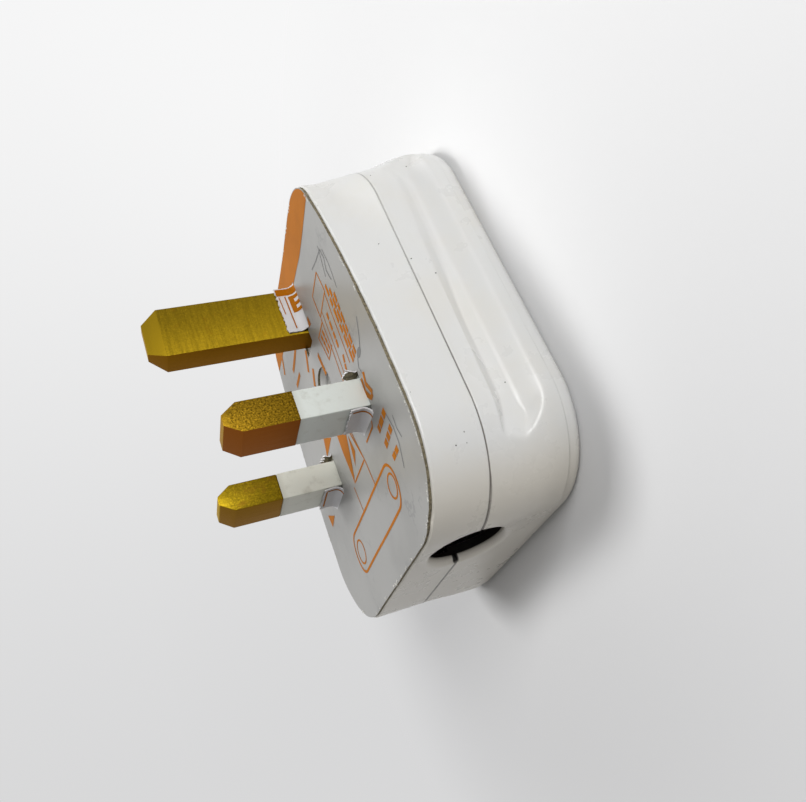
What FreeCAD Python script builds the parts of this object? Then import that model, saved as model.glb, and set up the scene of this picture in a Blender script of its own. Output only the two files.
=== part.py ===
"""UK three pin plug, rewirable, with a fused line pin. Millimetres.

The plug lies on the back of its cover with the pins up: +Z is the way the pins point, +Y runs
from the line and neutral pins towards the earth pin, and the cord entry is in the wall at -Y.
The origin is on the back, under the middle of the line and neutral pins.
"""
import FreeCAD, Part
import math
import os
import re
import Sketcher

Vector = FreeCAD.Vector
EDGE_REACH = 0.01  # an edge this near a plane lies on it

# Driving sizes: name, value in millimetres, meaning
SIZES = (
    ("half_width", 24.7, "pin face, half of its greatest width"),
    ("widest_drop", 5.0, "greatest width lies this far below the line and neutral pins"),
    ("side_radius", 130.0, "pin face, radius of its bowed sides in plan"),
    ("top_rise", 32.5, "earth end above the line and neutral pins"),
    ("bottom_drop", 20.4, "cord end below the line and neutral pins"),
    ("top_corner", 7.2, "pin face, corner radius at the earth end"),
    ("bottom_corner", 12.0, "corner radius at the cord end"),
    ("base_depth", 7.1, "base, from pin face to parting plane"),
    ("base_plate", 2.4, "base, thickness behind the pin face"),
    ("base_wall", 2.0, "base, thickness of its side wall"),
    ("face_chamfer", 0.4, "base, chamfer of the pin face's edge"),
    ("base_band", 2.2, "base, depth of the upright band below the pin face"),
    ("parting_half_width", 24.5, "parting plane, half of the width"),
    ("parting_corner", 11.0, "parting plane, corner radius at the earth end"),
    ("cover_depth", 11.7, "cover, from parting plane to back"),
    ("cover_plate", 2.0, "cover, thickness of its back"),
    ("cover_wall", 2.6, "cover, thickness of its side wall"),
    ("rim_depth", 4.2, "cover, depth of the flared rim"),
    ("rim_half_width", 25.8, "cover rim, half of its width"),
    ("rim_top_corner", 9.0, "cover rim, corner radius at the earth end"),
    ("back_chamfer", 1.0, "cover, chamfer of the back's edge"),
    ("scoop_lip", 0.2, "finger scoop, crest below the flared side"),
    ("scoop_depth", 1.1, "finger scoop, floor below its crest"),
    ("scoop_side_radius", 1500.0, "finger scoop, radius of its floor in plan"),
    ("scoop_edge", 2.4, "finger scoop, distance behind the parting plane"),
    ("scoop_fall", 1.5, "finger scoop, width of its steep side"),
    ("scoop_floor", 1.5, "finger scoop, width of its floor"),
    ("scoop_end_drop", 14.5, "finger scoop, end below the line and neutral pins"),
    ("cord_offset", 8.0, "cord entry, to the neutral side of the middle"),
    ("cord_radius", 4.8, "cord entry, radius"),
    ("cord_lip", 1.2, "cord entry, width of its flared lip"),
    ("pin_spacing", 22.23, "line to neutral pin"),
    ("earth_rise", 22.23, "earth pin above the line and neutral pins"),
    ("earth_wide", 4.0, "earth pin, across"),
    ("earth_tall", 8.0, "earth pin, along Y"),
    ("earth_length", 22.73, "earth pin, out of the pin face"),
    ("earth_tip_run", 2.3, "earth pin, length of its tapered tip"),
    ("earth_tip_wide", 1.7, "earth pin, across at the end"),
    ("earth_tip_tall", 5.0, "earth pin, along Y at the end"),
    ("blade_wide", 6.35, "line and neutral pins, across"),
    ("blade_tall", 4.0, "line and neutral pins, along Y"),
    ("blade_length", 17.7, "line and neutral pins, out of the pin face"),
    ("blade_tip_run", 1.9, "line and neutral pins, length of the tapered tip"),
    ("blade_tip_wide", 6.0, "line and neutral pins, across at the end"),
    ("blade_tip_tall", 1.4, "line and neutral pins, along Y at the end"),
    ("sleeve_length", 9.0, "sleeve, out of the pin face"),
    ("sleeve_wall", 0.5, "sleeve, thickness"),
    ("pin_play", 0.1, "gap round a pin in its slot"),
    ("head_depth", 8.0, "terminal head, along Z"),
    ("earth_head_wide", 7.0, "earth terminal head, across"),
    ("earth_head_tall", 9.6, "earth terminal head, along Y"),
    ("neutral_head_wide", 8.0, "neutral terminal head, across"),
    ("neutral_head_tall", 7.5, "neutral terminal head, along Y"),
    ("line_head_wide", 7.6, "line pin's head and terminal, across"),
    ("line_head_tall", 7.5, "line pin's head, along Y"),
    ("terminal_tall", 5.0, "line terminal, screw block along Y"),
    ("terminal_gap", 1.0, "line terminal, from the fuse's end to the screw block"),
    ("end_room", 1.4, "gap between the line terminal and the wall at the earth end"),
    ("block_room", 1.4, "gap between the line terminal and the side wall"),
    ("wire_radius", 1.7, "wire hole, radius"),
    ("wire_depth", 2.9, "wire hole, axis below the base plate"),
    ("screw_radius", 1.75, "terminal screw, shank radius"),
    ("screw_head_radius", 2.8, "terminal screw, head radius"),
    ("screw_head_depth", 2.0, "terminal screw, head depth"),
    ("screw_standoff", 1.0, "terminal screw, head to terminal"),
    ("screw_bite", 0.4, "terminal screw, tip past the wire hole's edge"),
    ("slot_width", 0.9, "screwdriver slot, width"),
    ("slot_depth", 0.8, "screwdriver slot, depth"),
    ("fuse_length", 25.4, "fuse, end to end"),
    ("fuse_height", 9.0, "fuse, axis above the back"),
    ("fuse_cap_radius", 3.175, "fuse cap, radius"),
    ("fuse_cap_length", 5.5, "fuse cap, length"),
    ("fuse_cap_wall", 0.4, "fuse cap, thickness"),
    ("fuse_bore", 1.6, "fuse tube, bore radius"),
    ("element_radius", 0.25, "fuse element, radius"),
    ("clip_gauge", 0.5, "fuse clip, sheet thickness"),
    ("clip_play", 0.05, "gap between clip and cap"),
    ("clip_length", 4.6, "fuse clip, along the fuse"),
    ("clip_wrap", 1.6, "fuse clip, reach past the fuse's axis"),
    ("clip_foot_wide", 6.0, "fuse clip, flat foot across"),
    ("over_cut", 1.0, "reach of a cut past the face it opens"),
    ("grip_drop", 13.0, "cord grip below the line and neutral pins"),
    ("grip_spacing", 16.5, "cord grip, screw to screw"),
    ("grip_room", 0.2, "gap between the cord grip and the side wall"),
    ("grip_height", 6.6, "cord grip bar, underside above the back"),
    ("grip_thick", 2.0, "cord grip bar, thickness"),
    ("grip_half_tall", 3.2, "cord grip bar, half of its width"),
    ("grip_boss_radius", 3.0, "cord grip boss, radius"),
    ("grip_screw_radius", 1.5, "cord grip screw, shank radius"),
    ("grip_screw_head", 2.6, "cord grip screw, head radius"),
    ("grip_screw_length", 5.6, "cord grip screw, length above the bar"),
    ("fastening_rise", 9.0, "cover screw above the line and neutral pins"),
    ("fastening_boss", 5.2, "cover screw boss, radius"),
    ("fastening_radius", 2.0, "cover screw, shank radius"),
    ("fastening_head", 3.4, "cover screw, head radius"),
    ("fastening_head_depth", 2.4, "cover screw, head depth"),
    ("fastening_sink", 1.0, "cover screw, head below the pin face"),
    ("fastening_play", 0.25, "gap round the cover screw"),
    ("fastening_reach", 5.4, "cover screw, reach into the cover"),
    ("insert_radius", 3.2, "cover insert, radius"),
    ("insert_length", 6.8, "cover insert, length"),
    ("washer_radius", 4.0, "retaining washer, radius"),
    ("washer_thick", 0.8, "retaining washer, thickness"),
    ("card_thick", 0.3, "wiring card, thickness"),
    ("card_inset", 0.3, "wiring card, inside the pin face's outline"),
    ("card_tab_rise", 3.4, "wiring card, height of a folded tab"),
    ("card_play", 0.15, "gap between a pin and the card"),
    ("earth_tab_tall", 7.0, "wiring card, width of the earth pin's tab"),
    ("blade_tab_wide", 5.6, "wiring card, width of a line or neutral tab"),
)
VALUE = {name: value for name, value, _ in SIZES}

doc = FreeCAD.newDocument("three_pin_plug")
sheet = doc.addObject("Spreadsheet::Sheet", "sizes")
for row, (name, value, meaning) in enumerate(SIZES, start=1):
    sheet.set(f"A{row}", meaning)
    sheet.set(f"B{row}", str(value))
    sheet.setAlias(f"B{row}", name)

# Places worked out from the driving sizes, in cells of their own
PLACES = (
    ("face", "cover_depth + base_depth", "pin face above the back"),
    ("ceiling", "face - base_plate", "inner side of the base plate"),
    ("pin_offset", "pin_spacing / 2", "line or neutral pin from the middle"),
    ("clip_seat", "fuse_height + fuse_cap_radius + clip_play + clip_gauge", "face that carries a fuse clip"),
    ("terminal_top", "top_rise - cover_wall - end_room", "line terminal's end above the pins"),
    ("terminal_middle", "terminal_top - terminal_tall / 2", "line terminal's screw above the pins"),
    ("bow_fall", "sqrt(side_radius ^ 2 - (terminal_top + widest_drop) ^ 2)", "bow beside the line terminal"),
    ("base_reach", "half_width - side_radius + bow_fall - base_wall", "base's inner side beside it"),
    ("corner_rise", "terminal_top - top_rise + parting_corner", "terminal's end in the cover's corner"),
    ("corner_fall", "sqrt((parting_corner - cover_wall) ^ 2 - corner_rise ^ 2)", "cover's corner beside it"),
    ("cover_reach", "parting_half_width - parting_corner + corner_fall", "cover's inner side beside it"),
    ("side_reach", "min(base_reach; cover_reach)", "nearer inner side beside the terminal"),
    ("block_offset", "side_reach - block_room - line_head_wide / 2", "line terminal's screw from the middle"),
    ("fuse_start", "terminal_top - terminal_tall - terminal_gap - fuse_length", "fuse's end by the line pin"),
    ("fuse_near", "fuse_start + fuse_cap_length / 2", "near clip's middle above the pins"),
    ("fuse_far", "fuse_start + fuse_length - fuse_cap_length / 2", "far clip's middle above the pins"),
    ("scoop_top", "cover_depth - scoop_edge", "scoop's crest above the back"),
    ("flare_slope", "(rim_half_width - parting_half_width) / (cover_depth - rim_depth)", "cover's flare"),
    ("scoop_crest", "parting_half_width + flare_slope * scoop_edge - scoop_lip", "its crest from the middle"),
    ("screw_low", "ceiling - head_depth - screw_standoff - screw_head_depth", "terminal screw's end"),
    ("screw_top", "ceiling - wire_depth - wire_radius + screw_bite", "terminal screw's tip"),
    ("grip_top", "grip_height + grip_thick", "upper face of the cord grip bar"),
    ("grip_swing", "bottom_corner - cover_wall - grip_room - grip_half_tall", "grip's end round the corner"),
    ("grip_sink", "grip_drop - bottom_drop + bottom_corner", "grip below the corner's middle"),
    ("grip_fall", "sqrt(max(0; grip_swing ^ 2 - grip_sink ^ 2))", "grip's end beside the corner's middle"),
    ("grip_reach", "parting_half_width - bottom_corner + grip_fall", "outermost place of a grip screw"),
    ("grip_middle", "min(cord_offset; grip_reach - grip_spacing / 2)", "cord grip, by the cord entry"),
)
NAMES = set(VALUE) | {name for name, _, _ in PLACES}


for row, (name, text, meaning) in enumerate(PLACES, start=len(SIZES) + 1):
    sheet.set(f"A{row}", meaning)
    sheet.set(f"B{row}", f"={text}")
    sheet.setAlias(f"B{row}", name)
doc.recompute()


def from_sheet(text):
    """Put the sheet's name before each size in an expression."""
    return re.sub(r"[a-z_]+", lambda word: f"sizes.{word[0]}" if word[0] in NAMES else word[0], text)


def bind(item, **sizes):
    """Tie properties of an object to expressions of the sheet."""
    for key, text in sizes.items():
        item.setExpression(key, from_sheet(text))


def put(item, x="0", y="0", z="0", prop="Placement"):
    """Tie an object's place to expressions of the sheet."""
    for axis, text in zip("xyz", (x, y, z)):
        item.setExpression(f"{prop}.Base.{axis}", from_sheet(text))


# Sketches on a body's own planes
def new_body(name):
    """Start a sub-part."""
    body = doc.addObject("PartDesign::Body", name)
    body.Label = name
    return body


def plane(body, role):
    """Find one of a body's origin planes or axes."""
    return next(item for item in body.Origin.OriginFeatures if item.Role == role)


def new_sketch(body, name, x="0", y="0", z="0", role="XY_Plane"):
    """Start a sketch on an origin plane, moved within the plane's own axes."""
    sketch = body.newObject("Sketcher::SketchObject", name)
    sketch.AttachmentSupport = [(plane(body, role), "")]
    sketch.MapMode = "FlatFace"
    put(sketch, x, y, z, "AttachmentOffset")
    return sketch


def limit(sketch, name, text, *constraint):
    """Add a named dimension and tie it to the sheet."""
    index = sketch.addConstraint(Sketcher.Constraint(*constraint))
    sketch.renameConstraint(index, name)
    sketch.setExpression(f"Constraints.{name}", from_sheet(text))


def rectangle(body, name, wide, tall, x="0", y="0", z="0", role="XY_Plane"):
    """Sketch a rectangle about the sketch's origin."""
    sketch = new_sketch(body, name, x, y, z, role)
    corners = [Vector(1, 1), Vector(-1, 1), Vector(-1, -1), Vector(1, -1)]
    for start, end in zip(corners, corners[1:] + corners[:1]):
        sketch.addGeometry(Part.LineSegment(start, end))
    for side in range(4):
        sketch.addConstraint(Sketcher.Constraint("Coincident", side, 2, (side + 1) % 4, 1))
        sketch.addConstraint(Sketcher.Constraint("Vertical" if side % 2 else "Horizontal", side))
    sketch.addConstraint(Sketcher.Constraint("Symmetric", 0, 1, 2, 1, -1, 1))
    limit(sketch, "wide", wide, "DistanceX", 0, 2, 0, 1, 2.0)
    limit(sketch, "tall", tall, "DistanceY", 1, 2, 1, 1, 2.0)
    return sketch


def circle(body, name, radius, x="0", y="0", z="0", role="XY_Plane"):
    """Sketch a circle about the sketch's origin."""
    sketch = new_sketch(body, name, x, y, z, role)
    sketch.addGeometry(Part.Circle(Vector(), Vector(0, 0, 1), 1.0))
    sketch.addConstraint(Sketcher.Constraint("Coincident", 0, 3, -1, 1))
    limit(sketch, "radius", radius, "Radius", 0, 1.0)
    return sketch


def arc(centre, radius, start, end):
    """Make an arc that runs anticlockwise from one point to another."""
    angles = [math.atan2(point.y - centre.y, point.x - centre.x) for point in (start, end)]
    return Part.ArcOfCircle(Part.Circle(centre, Vector(0, 0, 1), radius), *angles)


def left(point):
    """Mirror a point to the line side."""
    return Vector(-point.x, point.y)


def closed_outline(sketch, sides, corners, radii, joins, top, bottom):
    """Draw an outline anticlockwise from the earth end: edge, corner, side, corner, then the same again."""
    ends = [Vector(corners[0].x, top), Vector(corners[1].x, bottom)]
    sketch.addGeometry(Part.LineSegment(ends[0], left(ends[0])))
    sketch.addGeometry(arc(left(corners[0]), radii[0], left(ends[0]), left(joins[0])))
    sketch.addGeometry(sides[1])
    sketch.addGeometry(arc(left(corners[1]), radii[1], left(joins[1]), left(ends[1])))
    sketch.addGeometry(Part.LineSegment(left(ends[1]), ends[1]))
    sketch.addGeometry(arc(corners[1], radii[1], ends[1], joins[1]))
    sketch.addGeometry(sides[0])
    sketch.addGeometry(arc(corners[0], radii[0], joins[0], ends[0]))
    for edge in range(8):
        sketch.addConstraint(Sketcher.Constraint("Tangent", edge, 2, (edge + 1) % 8, 1))
    for one, other in ((1, 7), (3, 5)):
        sketch.addConstraint(Sketcher.Constraint("Equal", one, other))


def outline(body, name, z, inset="0"):
    """Sketch the pin face's outline: straight ends, bowed sides and round corners, drawn in by an inset."""
    sketch = new_sketch(body, name, z=z)
    drawn_in = VALUE.get(inset, 0.0)
    bow = VALUE["side_radius"] - drawn_in
    top = VALUE["top_rise"] - drawn_in
    bottom = drawn_in - VALUE["bottom_drop"]
    radii = [VALUE["top_corner"] - drawn_in, VALUE["bottom_corner"] - drawn_in]
    middle = Vector(VALUE["half_width"] - VALUE["side_radius"], -VALUE["widest_drop"])
    heights = [top - radii[0], bottom + radii[1]]
    corners = []
    for radius, height in zip(radii, heights):
        across = math.sqrt((bow - radius) ** 2 - (height - middle.y) ** 2)
        corners.append(Vector(middle.x + across, height))
    joins = [middle + (corner - middle) * (bow / (bow - radius)) for corner, radius in zip(corners, radii)]
    sides = [arc(middle, bow, joins[1], joins[0]), arc(left(middle), bow, left(joins[0]), left(joins[1]))]
    closed_outline(sketch, sides, corners, radii, joins, top, bottom)
    for edge in (0, 4):
        sketch.addConstraint(Sketcher.Constraint("Horizontal", edge))
    sketch.addConstraint(Sketcher.Constraint("Equal", 2, 6))
    sketch.addConstraint(Sketcher.Constraint("Symmetric", 2, 3, 6, 3, -2))
    limit(sketch, "bow", f"side_radius - {inset}", "Radius", 6, bow)
    limit(sketch, "bow_offset", "side_radius - half_width", "DistanceX", 6, 3, -1, 1, -middle.x)
    limit(sketch, "bow_drop", "widest_drop", "DistanceY", 6, 3, -1, 1, -middle.y)
    limit(sketch, "top_corner", f"top_corner - {inset}", "Radius", 7, radii[0])
    limit(sketch, "bottom_corner", f"bottom_corner - {inset}", "Radius", 5, radii[1])
    limit(sketch, "top", f"top_rise - {inset}", "DistanceY", -1, 1, 0, 1, top)
    limit(sketch, "bottom", f"bottom_drop - {inset}", "DistanceY", 4, 1, -1, 1, -bottom)
    return sketch


def straight_outline(body, name, z, wide="parting_half_width", corner="parting_corner", inset="0"):
    """Sketch the parting plane's or the rim's outline: straight ends and sides, drawn in by an inset."""
    sketch = new_sketch(body, name, z=z)
    drawn_in = VALUE.get(inset, 0.0)
    side = VALUE[wide] - drawn_in
    top = VALUE["top_rise"] - drawn_in
    bottom = drawn_in - VALUE["bottom_drop"]
    radii = [VALUE[corner] - drawn_in, VALUE["bottom_corner"] - drawn_in]
    heights = [top - radii[0], bottom + radii[1]]
    corners = [Vector(side - radius, height) for radius, height in zip(radii, heights)]
    joins = [Vector(side, height) for height in heights]
    sides = [Part.LineSegment(joins[1], joins[0]), Part.LineSegment(left(joins[0]), left(joins[1]))]
    closed_outline(sketch, sides, corners, radii, joins, top, bottom)
    sketch.addConstraint(Sketcher.Constraint("Symmetric", 3, 3, 5, 3, -2))
    sketch.addConstraint(Sketcher.Constraint("Symmetric", 1, 3, 7, 3, -2))
    sketch.addConstraint(Sketcher.Constraint("Vertical", 6))
    limit(sketch, "corner_offset", f"{wide} - bottom_corner", "DistanceX", -1, 1, 5, 3, corners[1].x)
    limit(sketch, "top_corner", f"{corner} - {inset}", "Radius", 7, radii[0])
    limit(sketch, "bottom_corner", f"bottom_corner - {inset}", "Radius", 5, radii[1])
    limit(sketch, "top", f"top_rise - {inset}", "DistanceY", -1, 1, 0, 1, top)
    limit(sketch, "bottom", f"bottom_drop - {inset}", "DistanceY", 4, 1, -1, 1, -bottom)
    return sketch


def polygon(body, name, points, role="XZ_Plane", **place):
    """Sketch a closed polygon whose corners lie right of and above the sketch's origin."""
    sketch = new_sketch(body, name, role=role, **place)
    turns = [2 * math.pi * index / len(points) for index in range(len(points))]
    corners = [Vector(2 + math.cos(turn), 2 + math.sin(turn)) for turn in turns]
    for start, end in zip(corners, corners[1:] + corners[:1]):
        sketch.addGeometry(Part.LineSegment(start, end))
    for index, (across, height) in enumerate(points):
        sketch.addConstraint(Sketcher.Constraint("Coincident", index, 2, (index + 1) % len(points), 1))
        limit(sketch, f"across_{index}", across, "DistanceX", -1, 1, index, 1, corners[index].x)
        limit(sketch, f"height_{index}", height, "DistanceY", -1, 1, index, 1, corners[index].y)
    return sketch


# Features on a body
def pad(body, name, sketch, length, down=False):
    """Grow a sketch along its normal, or against it."""
    feature = body.newObject("PartDesign::Pad", name)
    feature.Profile = sketch
    feature.Reversed = down
    bind(feature, Length=length)
    doc.recompute()
    return feature


def pocket(body, name, sketch, length, up=False):
    """Cut a sketch into the body, against its normal or along it, and see that it cuts."""
    before = body.Shape.Volume
    feature = body.newObject("PartDesign::Pocket", name)
    feature.Profile = sketch
    feature.Reversed = up
    bind(feature, Length=length)
    doc.recompute()
    if not body.Shape.Volume < before:
        raise ValueError(f"{name} cuts nothing")
    return feature


def loft(body, name, first, second, kind="AdditiveLoft"):
    """Run a ruled form from one sketch to another, and add it or cut it."""
    feature = body.newObject(f"PartDesign::{kind}", name)
    feature.Profile = first
    feature.Sections = [second]
    feature.Ruled = True
    doc.recompute()
    return feature


def edges_at(shape, test):
    """Name the edges whose every point passes a test."""
    found = []
    for index, edge in enumerate(shape.Edges, start=1):
        points = edge.discretize(5)
        if all(test(point) for point in points):
            found.append(f"Edge{index}")
    return found


def chamfer_edges(body, name, size, test):
    """Chamfer the edges whose every point passes a test."""
    before = body.Tip
    feature = body.newObject("PartDesign::Chamfer", name)
    feature.Base = (before, edges_at(before.Shape, test))
    bind(feature, Size=size)
    doc.recompute()


def side_channel(body, name, axis, reach, points, end_drop):
    """Cut a channel along both housing sides, open at the earth end.

    Its section turns about a far upright axis, so its floor is nearly straight in plan.
    """
    before = body.Shape.Volume
    section = polygon(body, f"{name}_section", points, x=axis, z="widest_drop")
    channel = body.newObject("PartDesign::Groove", f"{name}_run")
    channel.Profile = section
    channel.ReferenceAxis = (section, ["V_Axis"])
    channel.Type = "TwoAngles"
    bind(channel, Angle=f"asin((top_rise + widest_drop + bottom_corner) / {reach})")
    bind(channel, Angle2=f"asin(({end_drop} - widest_drop) / {reach})")
    doc.recompute()
    if not body.Shape.Volume < before:
        raise ValueError(f"{name} cuts nothing")
    both = body.newObject("PartDesign::Mirrored", f"{name}_pair")
    both.Originals = [channel]
    both.MirrorPlane = (plane(body, "YZ_Plane"), [""])
    body.Tip = both
    doc.recompute()


def cord_notch(body, name):
    """Cut the cord entry through the wall at the cord end, with a flared lip."""
    start = "bottom_drop + over_cut"
    bore = circle(body, f"{name}_bore", "cord_radius", "cord_offset", "cover_depth", start, role="XZ_Plane")
    pocket(body, f"{name}_cut", bore, "base_wall + cover_wall")
    flare = body.newObject("PartDesign::SubtractiveCone", f"{name}_flare")
    flare.AttachmentSupport = [(plane(body, "XZ_Plane"), "")]
    flare.MapMode = "FlatFace"
    bind(flare, Radius1="cord_radius", Radius2="cord_radius + 2 * cord_lip", Height="2 * cord_lip")
    put(flare, "cord_offset", "cover_depth", "bottom_drop - cord_lip", "AttachmentOffset")
    doc.recompute()


# Base moulding
base = new_body("base")
pad(base, "base_face_band", outline(base, "base_face", "face"), "base_band", down=True)
loft(
    base,
    "base_flare",
    outline(base, "base_band_end", "face - base_band"),
    straight_outline(base, "base_parting", "cover_depth"),
)
face_height = VALUE["cover_depth"] + VALUE["base_depth"]
chamfer_edges(base, "base_face_edge", "face_chamfer", lambda at: at.z > face_height - EDGE_REACH)
loft(
    base,
    "base_room",
    straight_outline(base, "base_mouth", "cover_depth", inset="base_wall"),
    outline(base, "base_ceiling", "ceiling", "base_wall"),
    "SubtractiveLoft",
)
pad(
    base,
    "base_fastening_boss",
    circle(base, "base_boss_ring", "fastening_boss", y="fastening_rise", z="ceiling"),
    "ceiling - cover_depth",
    down=True,
)
for side, sign in (("near", "+"), ("far", "-")):
    across = f"grip_middle {sign} grip_spacing / 2"
    ring = circle(base, f"grip_boss_{side}", "grip_boss_radius", across, "-grip_drop", "ceiling")
    pad(base, f"grip_post_{side}", ring, "ceiling - grip_top", down=True)
    bore = circle(base, f"grip_bore_{side}", "grip_screw_radius", across, "-grip_drop", "grip_top")
    pocket(base, f"grip_thread_{side}", bore, "grip_screw_length", up=True)
screw_seat = circle(base, "base_screw_seat", "fastening_head + fastening_play", y="fastening_rise", z="face")
pocket(base, "base_counterbore", screw_seat, "fastening_sink + fastening_head_depth")
screw_way = circle(base, "base_screw_way", "fastening_radius + fastening_play", y="fastening_rise", z="face")
pocket(base, "base_screw_bore", screw_way, "base_depth")
washer_seat = circle(base, "base_washer_seat", "washer_radius", y="fastening_rise", z="cover_depth")
pocket(base, "base_washer_recess", washer_seat, "washer_thick", up=True)
for pin, wide, tall, x, y in (
    ("earth", "earth_wide", "earth_tall", "0", "earth_rise"),
    ("neutral", "blade_wide", "blade_tall", "pin_offset", "0"),
    ("line", "blade_wide", "blade_tall", "-pin_offset", "0"),
):
    slot = rectangle(base, f"{pin}_slot", f"{wide} + 2 * pin_play", f"{tall} + 2 * pin_play", x, y, "face")
    pocket(base, f"{pin}_slot_cut", slot, "base_plate")
cord_notch(base, "base_cord")

# Cover moulding
cover = new_body("cover")
loft(
    cover,
    "cover_flare",
    straight_outline(cover, "cover_parting", "cover_depth"),
    straight_outline(cover, "cover_rim", "rim_depth", "rim_half_width", "rim_top_corner"),
)
rim_band = straight_outline(cover, "cover_band", "rim_depth", "rim_half_width", "rim_top_corner")
pad(cover, "cover_rim_band", rim_band, "rim_depth", down=True)
chamfer_edges(cover, "cover_back_edge", "back_chamfer", lambda at: at.z < EDGE_REACH)
scoop_out = "scoop_side_radius + scoop_depth + rim_half_width - pin_offset"
side_channel(
    cover,
    "cover_scoop",
    "scoop_crest - scoop_depth - scoop_side_radius",
    "scoop_side_radius",
    [
        (scoop_out, "scoop_top"),
        ("scoop_side_radius + scoop_depth", "scoop_top"),
        ("scoop_side_radius", "scoop_top - scoop_fall"),
        ("scoop_side_radius", "scoop_top - scoop_fall - scoop_floor"),
        ("scoop_side_radius + scoop_depth + rim_half_width - scoop_crest", "rim_depth"),
        (scoop_out, "rim_depth"),
    ],
    "scoop_end_drop",
)
loft(
    cover,
    "cover_room",
    straight_outline(cover, "cover_mouth", "cover_depth", inset="cover_wall"),
    straight_outline(cover, "cover_bed", "cover_plate", "rim_half_width", "rim_top_corner", "cover_wall"),
    "SubtractiveLoft",
)
pad(
    cover,
    "cover_post",
    circle(cover, "cover_post_ring", "fastening_boss", y="fastening_rise", z="cover_plate"),
    "cover_depth - cover_plate",
)
insert_seat = circle(cover, "cover_insert_seat", "insert_radius", y="fastening_rise", z="cover_depth")
pocket(cover, "cover_insert_bore", insert_seat, "insert_length")
cord_notch(cover, "cover_cord")


# Pins, each one piece of brass with its terminal head
CORE_WIDE = "blade_wide - 2 * sleeve_wall"
CORE_TALL = "blade_tall - 2 * sleeve_wall"


def tapered_tip(body, pin, x, y, reach):
    """Close a pin with its tapered tip."""
    shoulder = f"face + {reach}_length - {reach}_tip_run"
    first = rectangle(body, f"{pin}_tip_root", f"{reach}_wide", f"{reach}_tall", x, y, shoulder)
    last = rectangle(
        body, f"{pin}_tip_end", f"{reach}_tip_wide", f"{reach}_tip_tall", x, y, f"face + {reach}_length"
    )
    loft(body, f"{pin}_tip", first, last)


def wire_terminal(body, pin, x, y, deep):
    """Bore a terminal head for its wire, along Y, and for its screw, from below."""
    height = "ceiling - wire_depth"
    wire = circle(body, f"{pin}_wire", "wire_radius", x, height, f"{deep} - ({y})", role="XZ_Plane")
    pocket(body, f"{pin}_wire_bore", wire, f"2 * ({deep})")
    thread = circle(body, f"{pin}_thread", "screw_radius", x, y, "ceiling - head_depth")
    pocket(body, f"{pin}_thread_bore", thread, "head_depth - wire_depth", up=True)


def blade(name, x, head_wide, head_tall, head_low, head_shift="0"):
    """Make a line or neutral pin, drawn in where its sleeve sits, with a head below the base plate."""
    body = new_body(f"{name}_pin")
    head = rectangle(body, f"{name}_head_plan", head_wide, head_tall, x, head_shift, "ceiling")
    pad(body, f"{name}_head", head, f"ceiling - ({head_low})", down=True)
    core = rectangle(body, f"{name}_core_plan", CORE_WIDE, CORE_TALL, x, "0", "ceiling")
    pad(body, f"{name}_core", core, "base_plate + sleeve_length")
    full = rectangle(body, f"{name}_blade_plan", "blade_wide", "blade_tall", x, "0", "face + sleeve_length")
    pad(body, f"{name}_blade", full, "blade_length - blade_tip_run - sleeve_length")
    tapered_tip(body, name, x, "0", "blade")
    return body


earth_pin = new_body("earth_pin")
earth_head = rectangle(
    earth_pin, "earth_head_plan", "earth_head_wide", "earth_head_tall", "0", "earth_rise", "ceiling"
)
pad(earth_pin, "earth_head", earth_head, "head_depth", down=True)
earth_plan = rectangle(earth_pin, "earth_plan", "earth_wide", "earth_tall", y="earth_rise", z="ceiling")
pad(earth_pin, "earth_shank", earth_plan, "base_plate + earth_length - earth_tip_run")
tapered_tip(earth_pin, "earth", "0", "earth_rise", "earth")
wire_terminal(earth_pin, "earth", "0", "earth_rise", "earth_head_tall")

neutral_pin = blade("neutral", "pin_offset", "neutral_head_wide", "neutral_head_tall", "ceiling - head_depth")
wire_terminal(neutral_pin, "neutral", "pin_offset", "0", "neutral_head_tall")
line_head = "line_head_tall + abs(fuse_near)"
line_pin = blade("line", "-pin_offset", "line_head_wide", line_head, "clip_seat", "fuse_near / 2")

for name, x in (("neutral_sleeve", "pin_offset"), ("line_sleeve", "-pin_offset")):
    sleeve = new_body(name)
    around = rectangle(sleeve, f"{name}_plan", "blade_wide", "blade_tall", x, "0", "ceiling")
    pad(sleeve, f"{name}_block", around, "base_plate + sleeve_length")
    inside = rectangle(sleeve, f"{name}_inside", CORE_WIDE, CORE_TALL, x, "0", "ceiling")
    pocket(sleeve, f"{name}_bore", inside, "base_plate + sleeve_length", up=True)

# Line terminal: a clip seat and, past the fuse's end, a screw block with a wire hole along X
terminal = new_body("line_terminal")
seat_end = "terminal_middle - terminal_tall / 2"
seat_start = "fuse_far - clip_length / 2"
seat = rectangle(
    terminal,
    "terminal_seat_plan",
    "line_head_wide",
    f"{seat_end} - ({seat_start})",
    "-pin_offset",
    f"({seat_end} + {seat_start}) / 2",
    "ceiling",
)
pad(terminal, "terminal_seat", seat, "ceiling - clip_seat", down=True)
block = rectangle(
    terminal,
    "terminal_block_plan",
    "line_head_wide",
    "terminal_tall",
    "-block_offset",
    "terminal_middle",
    "ceiling",
)
pad(terminal, "terminal_block", block, "head_depth", down=True)
wire = circle(
    terminal,
    "terminal_wire",
    "wire_radius",
    "terminal_middle",
    "ceiling - wire_depth",
    "line_head_wide - block_offset",
    role="YZ_Plane",
)
pocket(terminal, "terminal_wire_bore", wire, "2 * line_head_wide")
thread = circle(
    terminal, "terminal_thread", "screw_radius", "-block_offset", "terminal_middle", "ceiling - head_depth"
)
pocket(terminal, "terminal_thread_bore", thread, "head_depth - wire_depth", up=True)


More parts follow.
